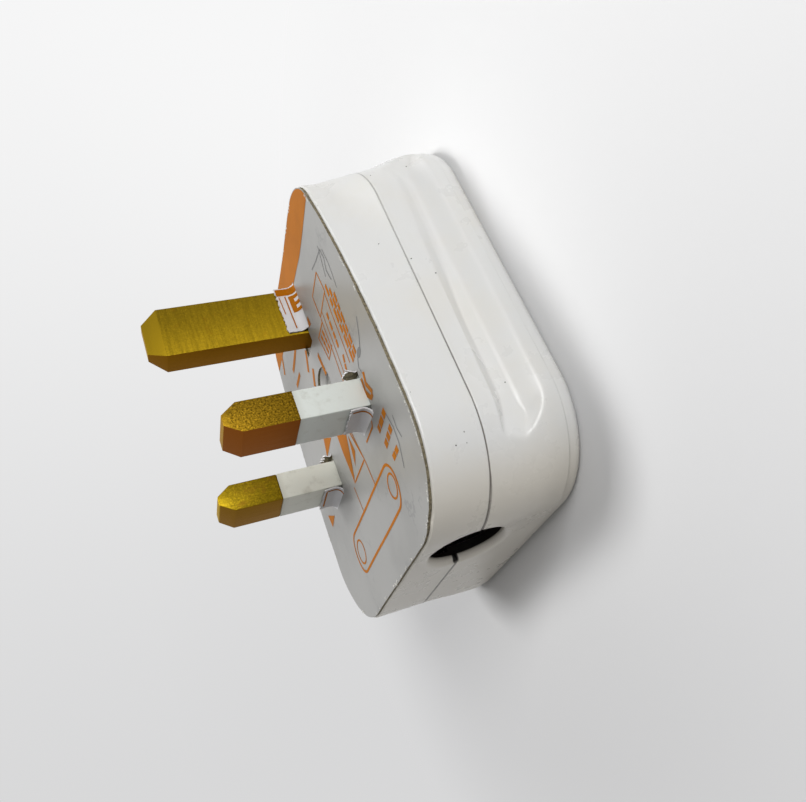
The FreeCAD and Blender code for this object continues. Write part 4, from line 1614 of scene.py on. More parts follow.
@dataclass
class Flap:
    """A tab of the card, folded up along a pin.

    Attributes:
        foot: Middle of the fold, at the pin's side.
        along: Direction of the fold.
        away: Direction away from the pin.
        width: Width along the fold.
        height: Height above the card.
        bend: Radius of the fold.
        lean: How far the top leans away from the pin.
        rag: Unevenness of the free edge.
        seed: Seed of the unevenness.
        thick: Thickness of the sheet.
        base: Height of the card's upper side.
        grid: Points along the fold and up the flap.
    """

    foot: Point
    along: Point
    away: Point
    width: float
    height: float
    bend: float = 0.8
    lean: float = 0.15
    rag: float = 0.08
    seed: int = 1
    thick: float = 0.2
    base: float = 19.1
    grid: tuple[int, int] = (28, 14)

    @property
    def border(self) -> int:
        """Count the faces along the sheet's border.

        Returns:
            Their number.
        """
        return 2 * (self.grid[0] + self.grid[1] - 2)

    def place(self, u: np.ndarray, v: np.ndarray, lift: float = 0.0) -> np.ndarray:
        """Find points on the flap's outer side.

        Args:
            u: Place along the fold, in millimetres from its middle.
            v: Place up the flap, from 0 at the fold's start to 1 at the free edge.
            lift: Distance off the surface.

        Returns:
            Rows of x, y and z.
        """
        run = np.asarray(v) * (self.height + ARC_EXCESS * self.bend)
        arc = self.bend * math.pi / 2
        turn = np.clip(run / self.bend, 0.0, math.pi / 2)
        rise = self.bend * (1.0 - np.cos(turn)) + np.clip(run - arc, 0.0, None)
        out = self.bend * (1.0 - np.sin(turn))
        out = out + self.lean * np.clip(run - arc, 0.0, None) / self.height
        out = out + self.thick + lift * np.sin(turn)
        rise = rise + lift * np.cos(turn)
        flat = np.outer(np.asarray(u), self.along) + np.outer(out, self.away) + np.array(self.foot)
        return np.column_stack([flat, self.base + rise])

    def sheet(self) -> tuple[np.ndarray, list[Face]]:
        """Build the flap as a thin closed sheet.

        Returns:
            Points and faces.
        """
        chance = np.random.default_rng(self.seed)
        columns, rows = self.grid
        ragged = 1.0 + self.rag * (chance.random(columns) - 0.5)
        ends = self.width / 2 * (1.0 + 0.03 * (chance.random((rows, 2)) - 0.5))
        outer = []
        inner = []
        for row in range(rows):
            u = np.linspace(-ends[row, 0], ends[row, 1], columns)
            v = ragged * row / (rows - 1)
            outer.append(self.place(u, v))
            inner.append(self.place(u, v, -self.thick))
        points = np.concatenate(outer + inner)
        half = rows * columns
        faces: list[Face] = []
        for row in range(rows - 1):
            for column in range(columns - 1):
                corner = row * columns + column
                quad = (corner, corner + 1, corner + columns + 1, corner + columns)
                faces.append(quad)
                faces.append(tuple(half + number for number in reversed(quad)))
        border = [(row * columns, (row + 1) * columns) for row in range(rows - 1)]
        border += [((row + 1) * columns - 1, (row + 2) * columns - 1) for row in range(rows - 1)]
        border += [(column, column + 1) for column in range(columns - 1)]
        top = (rows - 1) * columns
        border += [(top + column, top + column + 1) for column in range(columns - 1)]
        faces += [(first, second, half + second, half + first) for first, second in border]
        return points, faces


@dataclass
class WiringCard:
    """The card on the pin face and its folded tabs.

    Attributes:
        low: Height of its underside.
        thick: Thickness.
        inset: Distance inside the housing's outline.
        rag: Unevenness of its cut edge.
        seed: Seed of the unevenness.
        dent: Torn corner: its place, width and depth.
        waves: Heights of its two waves.
        rest: Mean gap under it.
        bulge: Bulge beside the neutral pin: its place and half lengths.
        bulge_height: Height of the bulge.
        spacing: Distance between the points of its mesh.
        openings: Middle and size of the pins' openings.
        flaps: Tabs by name.
    """

    low: float = PIN_FACE
    thick: float = 0.3
    inset: float = 0.22
    rag: float = 0.09
    seed: int = 17
    dent: Quad = (17.2, -18.4, 0.9, 0.35)
    waves: Point = (0.03, 0.02)
    rest: float = 0.05
    bulge: Quad = (18.0, 5.0, 5.0, 4.0)
    bulge_height: float = 0.12
    spacing: float = 0.7
    openings: tuple[Quad, ...] = (
        (0.0, 21.5, 4.3, 9.8),
        (PIN_OFFSET, 0.45, 6.65, 5.2),
        (-PIN_OFFSET, 0.45, 6.65, 5.2),
    )
    flaps: dict[str, Flap] = field(
        default_factory=lambda: {
            "earth": Flap((2.05, 22.6), NORTH, EAST, 8.0, 3.0, bend=1.3, seed=3),
            "neutral": Flap((11.4, -2.05), EAST, SOUTH, 5.8, 2.5, bend=1.2, lean=0.2, seed=5),
            "line": Flap((-11.3, -2.05), EAST, SOUTH, 6.6, 2.6, bend=1.1, lean=0.2, seed=7),
            "neutral_torn": Flap((10.9, 2.75), WEST, NORTH, 7.2, 1.3, 0.5, 0.6, 0.45, 9),
            "line_torn": Flap((-11.4, 2.75), WEST, NORTH, 6.8, 1.2, 0.5, 0.5, 0.4, 11),
        }
    )

    def lift(self, flat: np.ndarray) -> np.ndarray:
        """Find how far the card bulges off the face.

        Args:
            flat: Rows of x and y.

        Returns:
            Height of the bulge at each point.
        """
        x, y = flat[:, 0], flat[:, 1]
        long, short = self.waves
        wave = long * np.sin(0.31 * x + 0.9) * np.cos(0.27 * y) + short * np.sin(0.7 * y + 0.4 * x)
        at_x, at_y, wide, tall = self.bulge
        bump = self.bulge_height * np.exp(-(((x - at_x) / wide) ** 2 + ((y - at_y) / tall) ** 2))
        return np.clip(self.rest + wave + bump, 0.0, None)

    def outline(self) -> np.ndarray:
        """Walk the card's ragged edge.

        Returns:
            Rows of x and y.
        """
        ring = PLAN.outline(self.inset)
        chance = np.random.default_rng(self.seed)
        rough = chance.random(len(ring)) - 0.5
        soft = np.convolve(np.tile(rough, 3), np.ones(5) / 5, "same")[len(ring) : 2 * len(ring)]
        away = ring / np.linalg.norm(ring, axis=1)[:, None]
        x, y, wide, deep = self.dent
        dent = deep * np.exp(-(((ring[:, 0] - x) / wide) ** 2 + ((ring[:, 1] - y) / wide) ** 2))
        return ring - away * (np.clip(self.rag * soft * 2.0, -0.15, 0.2) + dent)[:, None]

    def holes(self) -> list[np.ndarray]:
        """List the card's openings.

        Returns:
            A ring for each opening.
        """
        rings = []
        corners = ((-1, -1), (1, -1), (1, 1), (-1, 1))
        for x, y, wide, tall in self.openings:
            ring = [(x + across * wide / 2, y + up * tall / 2) for across, up in corners]
            rings.append(np.array(ring))
        turn = np.linspace(0.0, 2.0 * math.pi, 48, endpoint=False)
        x, y, _ = FASTENING
        rings.append(np.stack([x + SCREW_HOLE * np.cos(turn), y + SCREW_HOLE * np.sin(turn)], 1))
        return rings

    def top(self, flat: np.ndarray, off: float = 0.0) -> np.ndarray:
        """Find points on the card's upper side.

        Args:
            flat: Rows of x and y.
            off: Distance off the surface.

        Returns:
            Rows of x, y and z.
        """
        return np.column_stack([flat, self.low + self.thick + self.lift(flat) + off])

    def build(self) -> Item:
        """Build the card with its tabs.

        Returns:
            The dressed piece.
        """
        flat, triangles = patch(self.outline(), self.holes(), self.spacing)
        upper = self.top(flat)
        lower = np.column_stack([flat, np.full(len(flat), self.low + 0.01)])
        count = len(flat)
        faces = [tuple(face) for face in triangles.tolist()]
        tally: dict[tuple[int, int], int] = {}
        for a, b, c in faces:
            for edge in ((a, b), (b, c), (c, a)):
                tally[edge] = tally.get(edge, 0) + 1
        border = [edge for edge in tally if (edge[1], edge[0]) not in tally]
        faces += [tuple(count + number for number in reversed(face)) for face in faces]
        sides = [(b, a, count + a, count + b) for a, b in border]
        points = [upper, lower]
        kinds = [0] * len(faces) + [1] * len(sides)
        faces = faces + sides
        start = 2 * count
        for name, flap in self.flaps.items():
            sheet, quads = flap.sheet()
            points.append(sheet)
            faces += [tuple(start + number for number in quad) for quad in quads]
            inner = len(quads) - flap.border
            torn = name.endswith("torn")
            kinds += [index % 2 if torn and index < inner else 2 for index in range(len(quads))]
            start += len(sheet)
        materials = [finish.material() for finish in (CARD, CARD_EDGE, TAB_WHITE)]
        made = new_object("wiring_card_dressed", np.concatenate(points), faces, materials)
        made.data.polygons.foreach_set("material_index", kinds)
        outward(made)
        soften(made, SHARP_DEGREES)
        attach(made, ROOT)
        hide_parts("wiring_card")
        return made


class Print:
    """Orange shapes printed on the card and its tabs."""

    OFF = 0.025
    SPACING = 0.8
    EDGE_STEPS = 6
    LINE_STEPS = 8

    def __init__(self, card: WiringCard) -> None:
        """Start with no shapes.

        Args:
            card: The card that is printed.
        """
        self.card = card
        self.points: list[np.ndarray] = []
        self.faces: list[Face] = []
        self.count = 0

    def _add(self, points: np.ndarray, faces: list[Face]) -> None:
        """Take up points and faces.

        Args:
            points: Rows of x, y and z.
            faces: Tuples of point numbers.
        """
        self.faces += [tuple(self.count + number for number in face) for face in faces]
        self.points.append(points)
        self.count += len(points)

    def field(self, corners: list[Point]) -> None:
        """Print a filled shape on the card.

        Args:
            corners: The shape's corners.
        """
        ring = np.array(corners, float)
        ends = zip(ring, np.roll(ring, -1, 0))
        dense = np.concatenate([HousingPlan.line(a, b, self.EDGE_STEPS) for a, b in ends])
        flat, triangles = patch(dense, [], self.SPACING)
        self._add(self.card.top(flat, self.OFF), [tuple(face) for face in triangles.tolist()])

    def stroke(self, path: list[Point], width: float, flap: Flap | None = None) -> None:
        """Print a line on the card or on a tab.

        Args:
            path: The line's points: x and y on the card, or u and v on a tab.
            width: Its width.
            flap: The tab, where it isn't on the card.
        """
        line = np.array(path, float)
        runs = [HousingPlan.line(a, b, self.LINE_STEPS) for a, b in zip(line, line[1:])]
        dense = np.concatenate([*runs, line[-1:]])
        scale = np.array([1.0, 1.0 if flap is None else flap.height])
        along = np.gradient(dense * scale, axis=0)
        along /= np.linalg.norm(along, axis=1)[:, None] + 1e-9
        side = np.stack([-along[:, 1], along[:, 0]], 1) * width / 2 / scale
        both = [dense + side, dense - side]
        if flap is None:
            placed = [self.card.top(edge, self.OFF) for edge in both]
        else:
            placed = [flap.place(edge[:, 0], edge[:, 1], self.OFF) for edge in both]
        count = len(dense)
        faces = [(i, i + 1, count + i + 1, count + i) for i in range(count - 1)]
        self._add(np.concatenate(placed), faces)

    def strokes(self, lines: Sequence[tuple[float, list[Point]]], flap: Flap | None = None) -> None:
        """Print several lines.

        Args:
            lines: Width and points of each.
            flap: The tab, where they aren't on the card.
        """
        for width, path in lines:
            self.stroke(path, width, flap)

    def ring(self, centre: Point, radius: float, width: float, squash: float = 1.0) -> None:
        """Print a circle.

        Args:
            centre: Its middle.
            radius: Its radius.
            width: Width of its line.
            squash: Height over width.
        """
        turn = np.linspace(0.0, 2.0 * math.pi, 25)
        x, y = centre
        path = [(x + radius * math.cos(a), y + squash * radius * math.sin(a)) for a in turn]
        self.stroke(path, width)

    def bars(self, start: Point, end: Point, width: float, cuts: int, seed: int) -> None:
        """Print a row of short dashes where a line of words would be.

        Args:
            start: The row's start.
            end: The row's end.
            width: Height of the dashes.
            cuts: Number of dashes.
            seed: Seed of their lengths.
        """
        chance = np.random.default_rng(seed)
        runs = chance.random(2 * cuts) * 0.6 + 0.7
        runs[::2] *= 0.2
        marks = np.cumsum(runs)
        marks = (marks - marks[0]) / (marks[-1] - marks[0])
        first, last = np.array(start), np.array(end)
        for index in range(cuts):
            ends = [tuple(first + (last - first) * share) for share in marks[2 * index : 2 * index + 2]]
            self.stroke(ends, width)

    def build(self) -> Item:
        """Print everything.

        Returns:
            The dressed piece.
        """
        self._band()
        self._grip()
        self._diagram()
        self._words()
        self._tabs()
        made = new_object("card_print", np.concatenate(self.points), self.faces, [INK.material()])
        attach(made, ROOT)
        return made

    def _band(self) -> None:
        """Print the band along the earth end."""
        edge = PLAN.outline(self.card.inset + 0.12)
        half, low = 3.2, 26.6
        right = edge[(edge[:, 1] > low) & (edge[:, 0] > half)]
        left = edge[(edge[:, 1] > low) & (edge[:, 0] < -half)]
        top = PLAN.top_rise - self.card.inset - 0.12
        self.field([(half, 26.3), (9.7, 25.9), *map(tuple, right[::4]), (half, top)])
        self.field([(-half, top), *map(tuple, left[::4]), (-9.7, 25.9), (-half, 26.3)])
        self.field([(-half, 26.9), (half, 26.9), (half, top), (-half, top)])

    def _grip(self) -> None:
        """Print the cord grip's outline and screws."""
        turn = np.linspace(-math.pi / 2, math.pi / 2, 14)
        right = [(11.0 + 2.5 * math.cos(a), -11.7 + 2.85 * math.sin(a)) for a in turn]
        left = [(-10.1 - 2.5 * math.cos(a), -11.8 - 2.85 * math.sin(a)) for a in turn]
        self.stroke([*right, *left, right[0]], 0.4)
        self.ring((11.5, -11.7), 1.45, 0.3, 1.05)
        self.ring((-9.7, -11.9), 1.8, 0.3, 0.92)

    def _diagram(self) -> None:
        """Print the fanned cores and the boxes of the wiring diagram."""
        for corners in (
            [(-2.0, 3.1), (2.0, 1.0), (-1.7, -4.8), (-2.2, 0.0)],
            [(2.6, 0.4), (3.1, -2.3), (0.9, -3.6)],
            [(-8.7, 6.3), (-5.0, 4.3), (-10.5, 3.8)],
            [(-20.6, -1.4), (-17.0, -3.0), (-20.0, -3.7)],
        ):
            self.field(corners)
        self.strokes(
            (
                (0.3, [(2.0, 1.0), (-1.7, -4.8), (5.3, -4.8), (3.6, 0.4)]),
                (0.25, [(4.3, 0.0), (5.3, -4.8), (5.8, -8.8)]),
                (0.2, [(-2.7, -5.0), (-2.5, -8.8)]),
                (0.26, [(13.7, 19.6), (14.1, 16.0), (9.1, 15.5), (8.9, 19.3), (13.7, 19.6)]),
                (0.24, [(13.8, 15.9), (13.3, 5.0)]),
                (0.24, [(9.1, 15.3), (8.5, 5.0)]),
                (0.2, [(10.4, 15.4), (9.9, 5.0)]),
                (0.26, [(9.2, 14.7), (5.2, 14.8), (6.2, 10.4), (9.3, 10.7)]),
                (0.9, [(-7.1, 21.8), (-12.4, 21.0)]),
                (0.9, [(-2.3, 18.1), (-4.6, 15.6)]),
                (0.9, [(-2.0, 14.5), (-3.9, 12.6)]),
                (0.8, [(2.3, 14.1), (2.9, 10.2)]),
                (0.8, [(-9.3, 18.5), (-13.0, 18.5)]),
                (0.8, [(-15.0, 27.5), (-17.8, 24.0)]),
            )
        )

    def _words(self) -> None:
        """Print plain bars for the lines of words."""
        for start, end, width, cuts, seed in (
            ((15.1, 16.2), (14.7, 4.2), 0.66, 6, 21),
            ((16.0, 14.8), (15.6, 4.2), 0.66, 6, 22),
            ((16.9, 13.4), (16.5, 4.2), 0.66, 6, 23),
            ((12.0, 14.0), (11.4, 8.8), 0.7, 4, 31),
            ((6.6, 14.2), (7.0, 11.0), 0.6, 3, 32),
            ((7.8, 14.2), (8.0, 11.0), 0.6, 3, 33),
            ((12.0, 7.2), (11.1, 5.2), 0.7, 2, 34),
            ((18.0, -5.0), (13.9, -5.4), 1.0, 3, 35),
            ((18.0, -7.2), (14.2, -7.7), 0.95, 3, 36),
            ((17.5, -9.7), (15.0, -9.8), 0.8, 2, 37),
        ):
            self.bars(start, end, width, cuts, seed)

    def _tabs(self) -> None:
        """Print letters and lines on the tabs and beside the neutral pin."""
        on_tabs = {
            "earth": (
                (1.2, [(3.2, 0.02), (3.2, 0.98)]),
                (0.16, [(-3.5, 0.62), (2.4, 0.66)]),
                (0.12, [(-0.8, 0.86), (2.4, 0.9)]),
                (0.6, [(2.3, 0.44), (-0.7, 0.42)]),
                *((0.6, [(u, 0.05), (u, 0.44)]) for u in (2.0, 0.8, -0.4)),
            ),
            "neutral": ((0.3, [(2.3, 0.92), (2.2, 0.2), (2.1, 0.02)]),),
            "line": ((0.35, [(2.8, 0.9), (2.6, 0.04)]), (0.2, [(2.6, 0.9), (-2.4, 0.86)])),
        }
        for name, lines in on_tabs.items():
            self.strokes(lines, self.card.flaps[name])
        self.field([(3.2, 18.2), (4.4, 18.0), (4.2, 19.6), (3.4, 19.4)])
        self.strokes(
            (
                (0.32, [(12.9, -3.4), (12.3, -4.0), (8.4, -4.0)]),
                (0.7, [(16.4, 1.5), (15.6, 0.3), (16.6, -1.6)]),
                (0.65, [(14.9, 1.5), (14.5, -0.3), (15.4, -1.6)]),
                (0.55, [(14.4, -0.6), (15.4, -1.7), (16.4, -1.7)]),
            )
        )


class Smears(Print):
    """Grey smears and drops that soil the card."""

    def build(self) -> Item:
        """Draw everything.

        Returns:
            The dressed piece.
        """
        turn = np.linspace(0.0, 2.0 * math.pi, 14, endpoint=False)
        self.field([(17.5 + 1.0 * math.cos(a), 3.6 + 0.5 * math.sin(a)) for a in turn])
        self.strokes(
            (
                (0.2, [(12.6, 21.0), (15.1, 20.3), (17.9, 19.8), (18.2, 18.1), (17.3, 16.8), (17.7, 14.9)]),
                (0.16, [(17.7, 20.6), (17.2, 18.9), (16.3, 16.6)]),
                (0.14, [(18.6, 19.2), (18.9, 16.6), (18.4, 13.0)]),
                (0.2, [(18.4, 3.7), (19.6, 4.7), (21.0, 6.4)]),
                (0.22, [(16.5, 3.5), (15.6, 2.7), (15.9, 1.6)]),
                (0.2, [(17.9, -5.2), (18.6, -7.6), (18.4, -9.6), (17.0, -12.1)]),
                (0.16, [(19.6, -6.6), (19.4, -8.2), (19.8, -9.6)]),
            )
        )
        made = new_object("card_smears", np.concatenate(self.points), self.faces, [SMEAR.material()])
        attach(made, ROOT)
        return made


# Growth


class GrowthTree:
    """A Geometry Nodes tree that sets small bits on a host mesh."""

    def __init__(self, name: str, sizes: tuple[str, ...]) -> None:
        """Start the tree.

        Args:
            name: The tree's name.
            sizes: Its number inputs, besides the host, the seed and the material.
        """
        tree = bpy.data.node_groups.new(name, "GeometryNodeTree")
        tree.interface.new_socket(name="Host", in_out="INPUT", socket_type="NodeSocketGeometry")
        kinds = dict.fromkeys(sizes, "NodeSocketFloat")
        kinds |= {"Seed": "NodeSocketInt", "Material": "NodeSocketMaterial"}
        self.keys: dict[str, str] = {}
        for key, kind in kinds.items():
            made = tree.interface.new_socket(name=key, in_out="INPUT", socket_type=kind)
            self.keys[key] = made.identifier
        tree.interface.new_socket(name="Bits", in_out="OUTPUT", socket_type="NodeSocketGeometry")
        self.graph = Graph(tree)
        self.start = self.graph.node("NodeGroupInput")

    def between(self, low: float, high: float) -> Socket:
        """Vary a number from bit to bit.

        Args:
            low: Least value.
            high: Greatest value.

        Returns:
            The number's socket.
        """
        feeds = {2: low, 3: high, "Seed": self.start.outputs["Seed"]}
        return self.graph.node("FunctionNodeRandomValue", feeds, data_type="FLOAT").outputs[1]

    def close(
        self,
        points: Socket,
        bit: Socket,
        scale: Socket,
        turn: object = (0.0, 0.0, 0.0),
        kept: object = True,
    ) -> None:
        """End the tree with the bits on their points.

        Args:
            points: Where they sit.
            bit: The bit's form.
            scale: Their sizes.
            turn: Their rotations.
            kept: Which of the points carry one.
        """
        feeds = {"Points": points, "Instance": bit, "Scale": scale, "Rotation": turn, "Selection": kept}
        placed = self.graph.node("GeometryNodeInstanceOnPoints", feeds)
        real = self.graph.node("GeometryNodeRealizeInstances", {"Geometry": placed.outputs[0]})
        feeds = {"Geometry": real.outputs[0], "Material": self.start.outputs["Material"]}
        dressed = self.graph.node("GeometryNodeSetMaterial", feeds)
        self.graph.node("NodeGroupOutput", {0: dressed.outputs[0]})

    def grow(self, host: Item, slot: Slot, values: dict[str, object]) -> Item:
        """Turn a host into its bits.

        Args:
            host: The host's object.
            slot: The bits' material slot; not used.
            values: The tree's inputs by name.

        Returns:
            The dressed piece.
        """
        change = host.modifiers.new("growth", "NODES")
        change.node_group = self.graph.tree
        for key, value in values.items():
            change[self.keys[key]] = value
        bake(host)
        log.info("%s has %d faces", host.name, len(host.data.polygons))
        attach(host, ROOT)
        return host


@dataclass(frozen=True)
class Dust:
    """Dark specks on the housing's sides.

    Attributes:
        density: Specks on a square metre.
        size: Radius of a speck.
        sizes: Least and greatest share of that radius.
        seed: Seed of their places.
        reach: Distance from the middle beyond which a wall is an outer one.
        low: Height above which they lie.
    """

    density: float = 22000.0
    size: float = 0.07
    sizes: Point = (0.5, 1.3)
    seed: int = 4
    reach: float = 20.5
    low: float = 5.5

    def tree(self) -> GrowthTree:
        """Build the tree.

        Returns:
            The tree.
        """
        made = GrowthTree("dust", ("Density", "Size"))
        graph, inputs = made.graph, made.start.outputs
        place = graph.split(graph.node("GeometryNodeInputPosition").outputs[0])
        normal = graph.split(graph.node("GeometryNodeInputNormal").outputs[0])
        side = graph.calc("GREATER_THAN", graph.times(place[0], normal[0]), self.reach * MM)
        high = graph.calc("GREATER_THAN", place[2], self.low * MM)
        feeds = {"Mesh": inputs["Host"], "Density": inputs["Density"], "Seed": inputs["Seed"]}
        feeds["Selection"] = graph.times(side, high)
        points = graph.node("GeometryNodeDistributePointsOnFaces", feeds).outputs["Points"]
        ball = graph.node("GeometryNodeMeshIcoSphere", {"Radius": inputs["Size"], "Subdivisions": 2})
        made.close(points, ball.outputs["Mesh"], made.between(*self.sizes))
        return made

    def build(self, shells: list[Item]) -> None:
        """Strew the specks.

        Args:
            shells: The housing's mouldings.
        """
        tree, material = self.tree(), DUST.material()
        for index, shell in enumerate(shells):
            host = link(f"{shell.name}_dust", shell.data.copy())
            values = {"Density": self.density, "Size": self.size * MM, "Seed": self.seed + index}
            tree.grow(host, Slot.HOUSING, {**values, "Material": material})


@dataclass(frozen=True)
class Fuzz:
    """Pale fibres along the card's cut edge.

    Attributes:
        spacing: Distance between fibres.
        length: Length of a fibre.
        lengths: Least and greatest share of that length.
        tilt: Least and greatest tilt from upright, in radians.
        thick: Radii of a fibre's tip and root.
        inset: Distance inside the housing's outline.
        seed: Seed of their sizes and turns.
        gaps: Level of the noise above which fibres grow, so that they stand in clumps.
    """

    spacing: float = 0.17
    length: float = 0.3
    lengths: Point = (0.3, 1.15)
    tilt: Point = (1.3, 1.65)
    thick: Point = (0.03, 0.075)
    inset: float = 0.42
    seed: int = 6
    gaps: float = 0.56

    def tree(self) -> GrowthTree:
        """Build the tree.

        Returns:
            The tree.
        """
        made = GrowthTree("fuzz", ("Spacing", "Length"))
        graph, inputs = made.graph, made.start.outputs
        curve = graph.node("GeometryNodeMeshToCurve", {"Mesh": inputs["Host"]}).outputs["Curve"]
        feeds = {"Curve": curve, "Length": inputs["Spacing"]}
        points = graph.node("GeometryNodeResampleCurve", feeds, mode="LENGTH").outputs["Curve"]
        tip, root = (radius * MM for radius in self.thick)
        feeds = {"Vertices": 4, "Radius Top": tip, "Radius Bottom": root, "Depth": inputs["Length"]}
        cone = graph.node("GeometryNodeMeshCone", feeds).outputs["Mesh"]
        feeds = {0: made.between(*self.tilt), 2: made.between(0.0, FULL_TURN)}
        turn = graph.node("ShaderNodeCombineXYZ", feeds).outputs[0]
        clump = graph.noise(graph.node("GeometryNodeInputPosition").outputs[0], 0.45 / MM)
        kept = graph.calc("GREATER_THAN", clump, self.gaps)
        made.close(points, cone, made.between(*self.lengths), turn, kept)
        return made

    def build(self, card: WiringCard) -> None:
        """Grow the fibres.

        Args:
            card: The card that carries them.
        """
        ring = card.top(PLAN.outline(self.inset), 0.02) * MM
        mesh = bpy.data.meshes.new("card_fuzz")
        count = len(ring)
        mesh.from_pydata(ring.tolist(), [(index, (index + 1) % count) for index in range(count)], [])
        values = {"Spacing": self.spacing * MM, "Length": self.length * MM, "Seed": self.seed}
        self.tree().grow(link("card_fuzz", mesh), Slot.CARD, {**values, "Material": FUZZ.material()})


# Surroundings


@dataclass(frozen=True)
class Lamp:
    """A soft square lamp.

    Attributes:
        name: The lamp's name.
        place: Where it is, in metres.
        size: Its side in metres.
        power: Its power in watts.
    """

    name: str
    place: Place
    size: float
    power: float

    def build(self, target: Vector) -> None:
        """Hang the lamp.

        Args:
            target: The point that it faces.
        """
        light = bpy.data.lights.new(self.name, "AREA")
        light.size = self.size
        light.energy = self.power
        made = link(self.name, light)
        made.location = self.place
        made.rotation_euler = (target - Vector(self.place)).to_track_quat("-Z", "Y").to_euler()


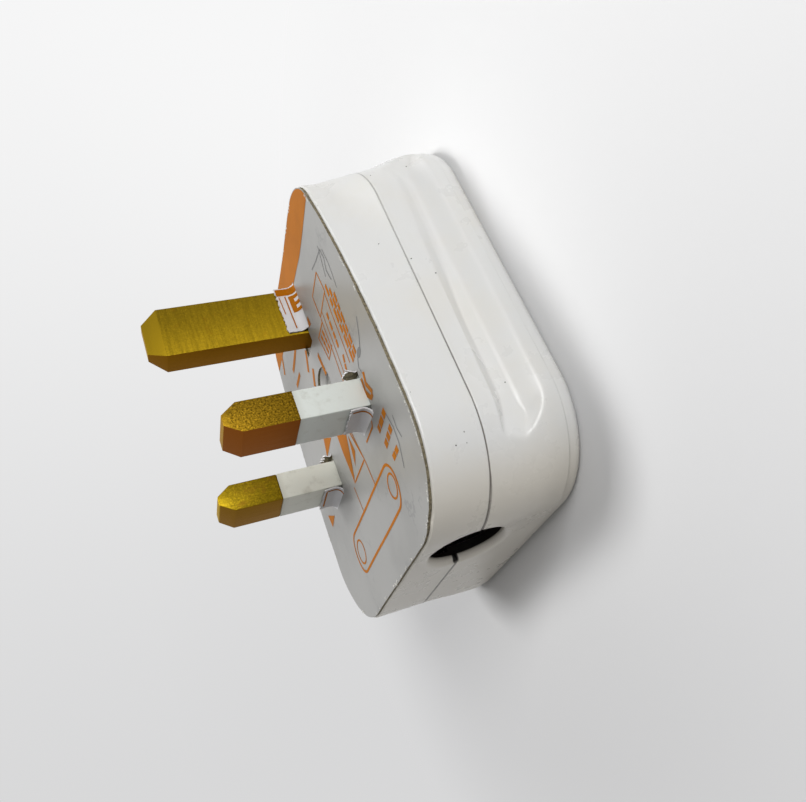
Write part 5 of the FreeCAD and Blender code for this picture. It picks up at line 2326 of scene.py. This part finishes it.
@dataclass
class Studio:
    """Floor, backdrop, lamps and camera.

    Attributes:
        pale: Colour of floor and backdrop.
        deep: Their colour towards the cord end.
        ambient: Strength of the light from all round.
        bounce: Share of the floor's colour in the light that it throws back.
        hub: Point over the plug, in metres, from which the floor's tone spreads.
        fade: Direction in which floor and backdrop grow paler.
        spread: Share of that direction at which the palest tone is reached.
        clear: Distances in millimetres between which the floor goes over into the backdrop.
        half: Half of the floor's width in millimetres.
        target: The point in metres that the lamps face.
        eye: The camera's place in metres.
        sight: Its viewing direction.
        crown: The direction that is up in the picture.
        lens: Its focal length for a 36 mm wide sensor.
        lamps: The lamps.
    """

    pale: Colour = (0.93, 0.93, 0.932)
    deep: Colour = (0.68, 0.68, 0.685)
    ambient: float = 0.22
    bounce: float = 0.7
    hub: Place = (0.04, 0.0, 0.08)
    fade: Place = (0.52, 0.83, -0.19)
    spread: float = 0.55
    clear: Point = (42.0, 95.0)
    half: float = 3000.0
    target: Place = (0.0, 0.004, 0.012)
    eye: Place = (0.09111, -0.04268, 0.04877)
    sight: Place = (-0.82504, 0.43282, -0.36328)
    crown: Place = (0.52078, 0.83192, -0.19157)
    lens: float = 34.035
    lamps: tuple[Lamp, ...] = (
        Lamp("top", (-0.132, 0.168, 0.56), 0.18, 1.95),
        Lamp("side", (0.56, 0.09, 0.26), 0.30, 2.05),
    )

    def _seen(self, graph: Graph) -> Socket:
        """Tell rays that show the background from rays that light the plug.

        Args:
            graph: The graph to add to.

        Returns:
            1 for camera, glossy and transmission rays.
        """
        path = graph.node("ShaderNodeLightPath")
        either = graph.calc("MAXIMUM", path.outputs["Is Camera Ray"], path.outputs["Is Glossy Ray"])
        return graph.calc("MAXIMUM", either, path.outputs["Is Transmission Ray"])

    def _backdrop(self, graph: Graph, way: Socket) -> Socket:
        """Shade the backdrop from its deep to its pale tone.

        Args:
            graph: The graph to add to.
            way: Direction from the hub.

        Returns:
            The colour's socket.
        """
        dot = graph.vector("DOT_PRODUCT", way, self.fade)
        return graph.mix(graph.step(dot, -self.spread, self.spread), self.deep, self.pale)

    def _floor(self) -> None:
        """Lay the floor, which fades into the backdrop's colour away from the plug."""
        signs = ((-1, -1), (1, -1), (1, 1), (-1, 1))
        corners = np.array([(x * self.half, y * self.half, FLOOR_LEVEL) for x, y in signs])
        material = bpy.data.materials.new("pale_floor")
        material.use_nodes = True
        graph = Graph(material.node_tree)
        far = graph.vector("LENGTH", graph.place)
        middle = tuple(part / MM for part in self.hub)
        ray = graph.vector("SUBTRACT", graph.place, middle)
        ray = graph.vector("NORMALIZE", ray)
        shade = self._backdrop(graph, ray)
        seen = self._seen(graph)
        dull = graph.vector("SCALE", shade, self.bounce)
        lit = graph.node("ShaderNodeBsdfDiffuse", {"Color": graph.mix(seen, dull, shade)})
        plain = graph.node("ShaderNodeEmission", {"Color": shade, "Strength": 1.0})
        away = graph.times(graph.step(far, *self.clear), seen)
        mixed = graph.node("ShaderNodeMixShader", {0: away, 1: lit.outputs[0], 2: plain.outputs[0]})
        graph.node("ShaderNodeOutputMaterial", {"Surface": mixed.outputs[0]})
        floor = new_object("floor", corners, [(0, 1, 2, 3)], [material])

    def _world(self) -> None:
        """Set the light from all round and the backdrop's colour."""
        world = bpy.data.worlds.new("studio")
        world.use_nodes = True
        bpy.context.scene.world = world
        graph = Graph(world.node_tree)
        way = graph.node("ShaderNodeTexCoord").outputs["Generated"]
        seen = graph.node("ShaderNodeBackground", {"Color": self._backdrop(graph, way), "Strength": 1.0})
        around = graph.node("ShaderNodeBackground", {"Color": (1.0, 1.0, 1.0), "Strength": self.ambient})
        feeds = {0: self._seen(graph), 1: around.outputs[0], 2: seen.outputs[0]}
        mixed = graph.node("ShaderNodeMixShader", feeds)
        graph.node("ShaderNodeOutputWorld", {"Surface": mixed.outputs[0]})

    def _camera(self) -> None:
        """Set up the camera."""
        lens = bpy.data.cameras.new("camera")
        lens.sensor_fit = "HORIZONTAL"
        lens.sensor_width = 36.0
        lens.lens = self.lens
        lens.clip_start = 0.001
        made = link("camera", lens)
        ahead = Vector(self.sight).normalized()
        right = ahead.cross(Vector(self.crown)).normalized()
        turn = Matrix((right, right.cross(ahead), -ahead)).transposed()
        made.matrix_world = Matrix.Translation(self.eye) @ turn.to_4x4()
        bpy.context.scene.camera = made

    def build(self) -> None:
        """Set up the surroundings."""
        bpy.context.scene.view_settings.view_transform = "Standard"
        self._floor()
        self._world()
        for lamp in self.lamps:
            lamp.build(Vector(self.target))
        self._camera()


@dataclass
class Plug:
    """The whole plug.

    Attributes:
        base: The base moulding.
        cover: The cover moulding.
        hard: Pins and sleeves.
        card: The wiring card.
        dust: The specks on the housing.
        fuzz: The fibres along the card's edge.
    """

    base: BaseShell = field(default_factory=lambda: BaseShell("base_dressed", "base"))
    cover: CoverShell = field(default_factory=lambda: CoverShell("cover_dressed", "cover"))
    hard: tuple[HardPiece, ...] = (
        HardPiece("earth_pin", EARTH_BRASS, Slot.PIN),
        HardPiece("neutral_pin", NEUTRAL_BRASS, Slot.PIN),
        HardPiece("line_pin", LINE_BRASS, Slot.PIN),
        HardPiece("neutral_sleeve", SLEEVE_NEUTRAL, Slot.SLEEVE, 0.12),
        HardPiece("line_sleeve", SLEEVE_LINE_BRIGHTENED, Slot.SLEEVE, 0.12),
    )
    card: WiringCard = field(default_factory=WiringCard)
    dust: Dust = Dust()
    fuzz: Fuzz = Fuzz()

    def build(self) -> None:
        """Build every piece and give the inner CAD nodes their materials."""
        white = WHITE.material()
        shells = [shell.build(white) for shell in (self.base, self.cover)]
        for made in shells:
            log.info("%s has %d faces", made.name, len(made.data.polygons))
        for piece in self.hard:
            piece.build()
        self.card.build()
        Print(self.card).build()
        Smears(self.card).build()
        self.dust.build(shells)
        self.fuzz.build(self.card)
        shared: dict[str, Material] = {}
        for node, finish in INNER.items():
            if finish.name not in shared:
                shared[finish.name] = finish.material()
            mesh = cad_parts[node].data
            mesh.materials.clear()
            mesh.materials.append(shared[finish.name])


def main() -> None:
    """Build the scene and note its size."""
    logging.basicConfig(level=logging.INFO, format="%(message)s")
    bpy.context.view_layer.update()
    Plug().build()
    Studio().build()


if __name__ == "__main__":
    main()
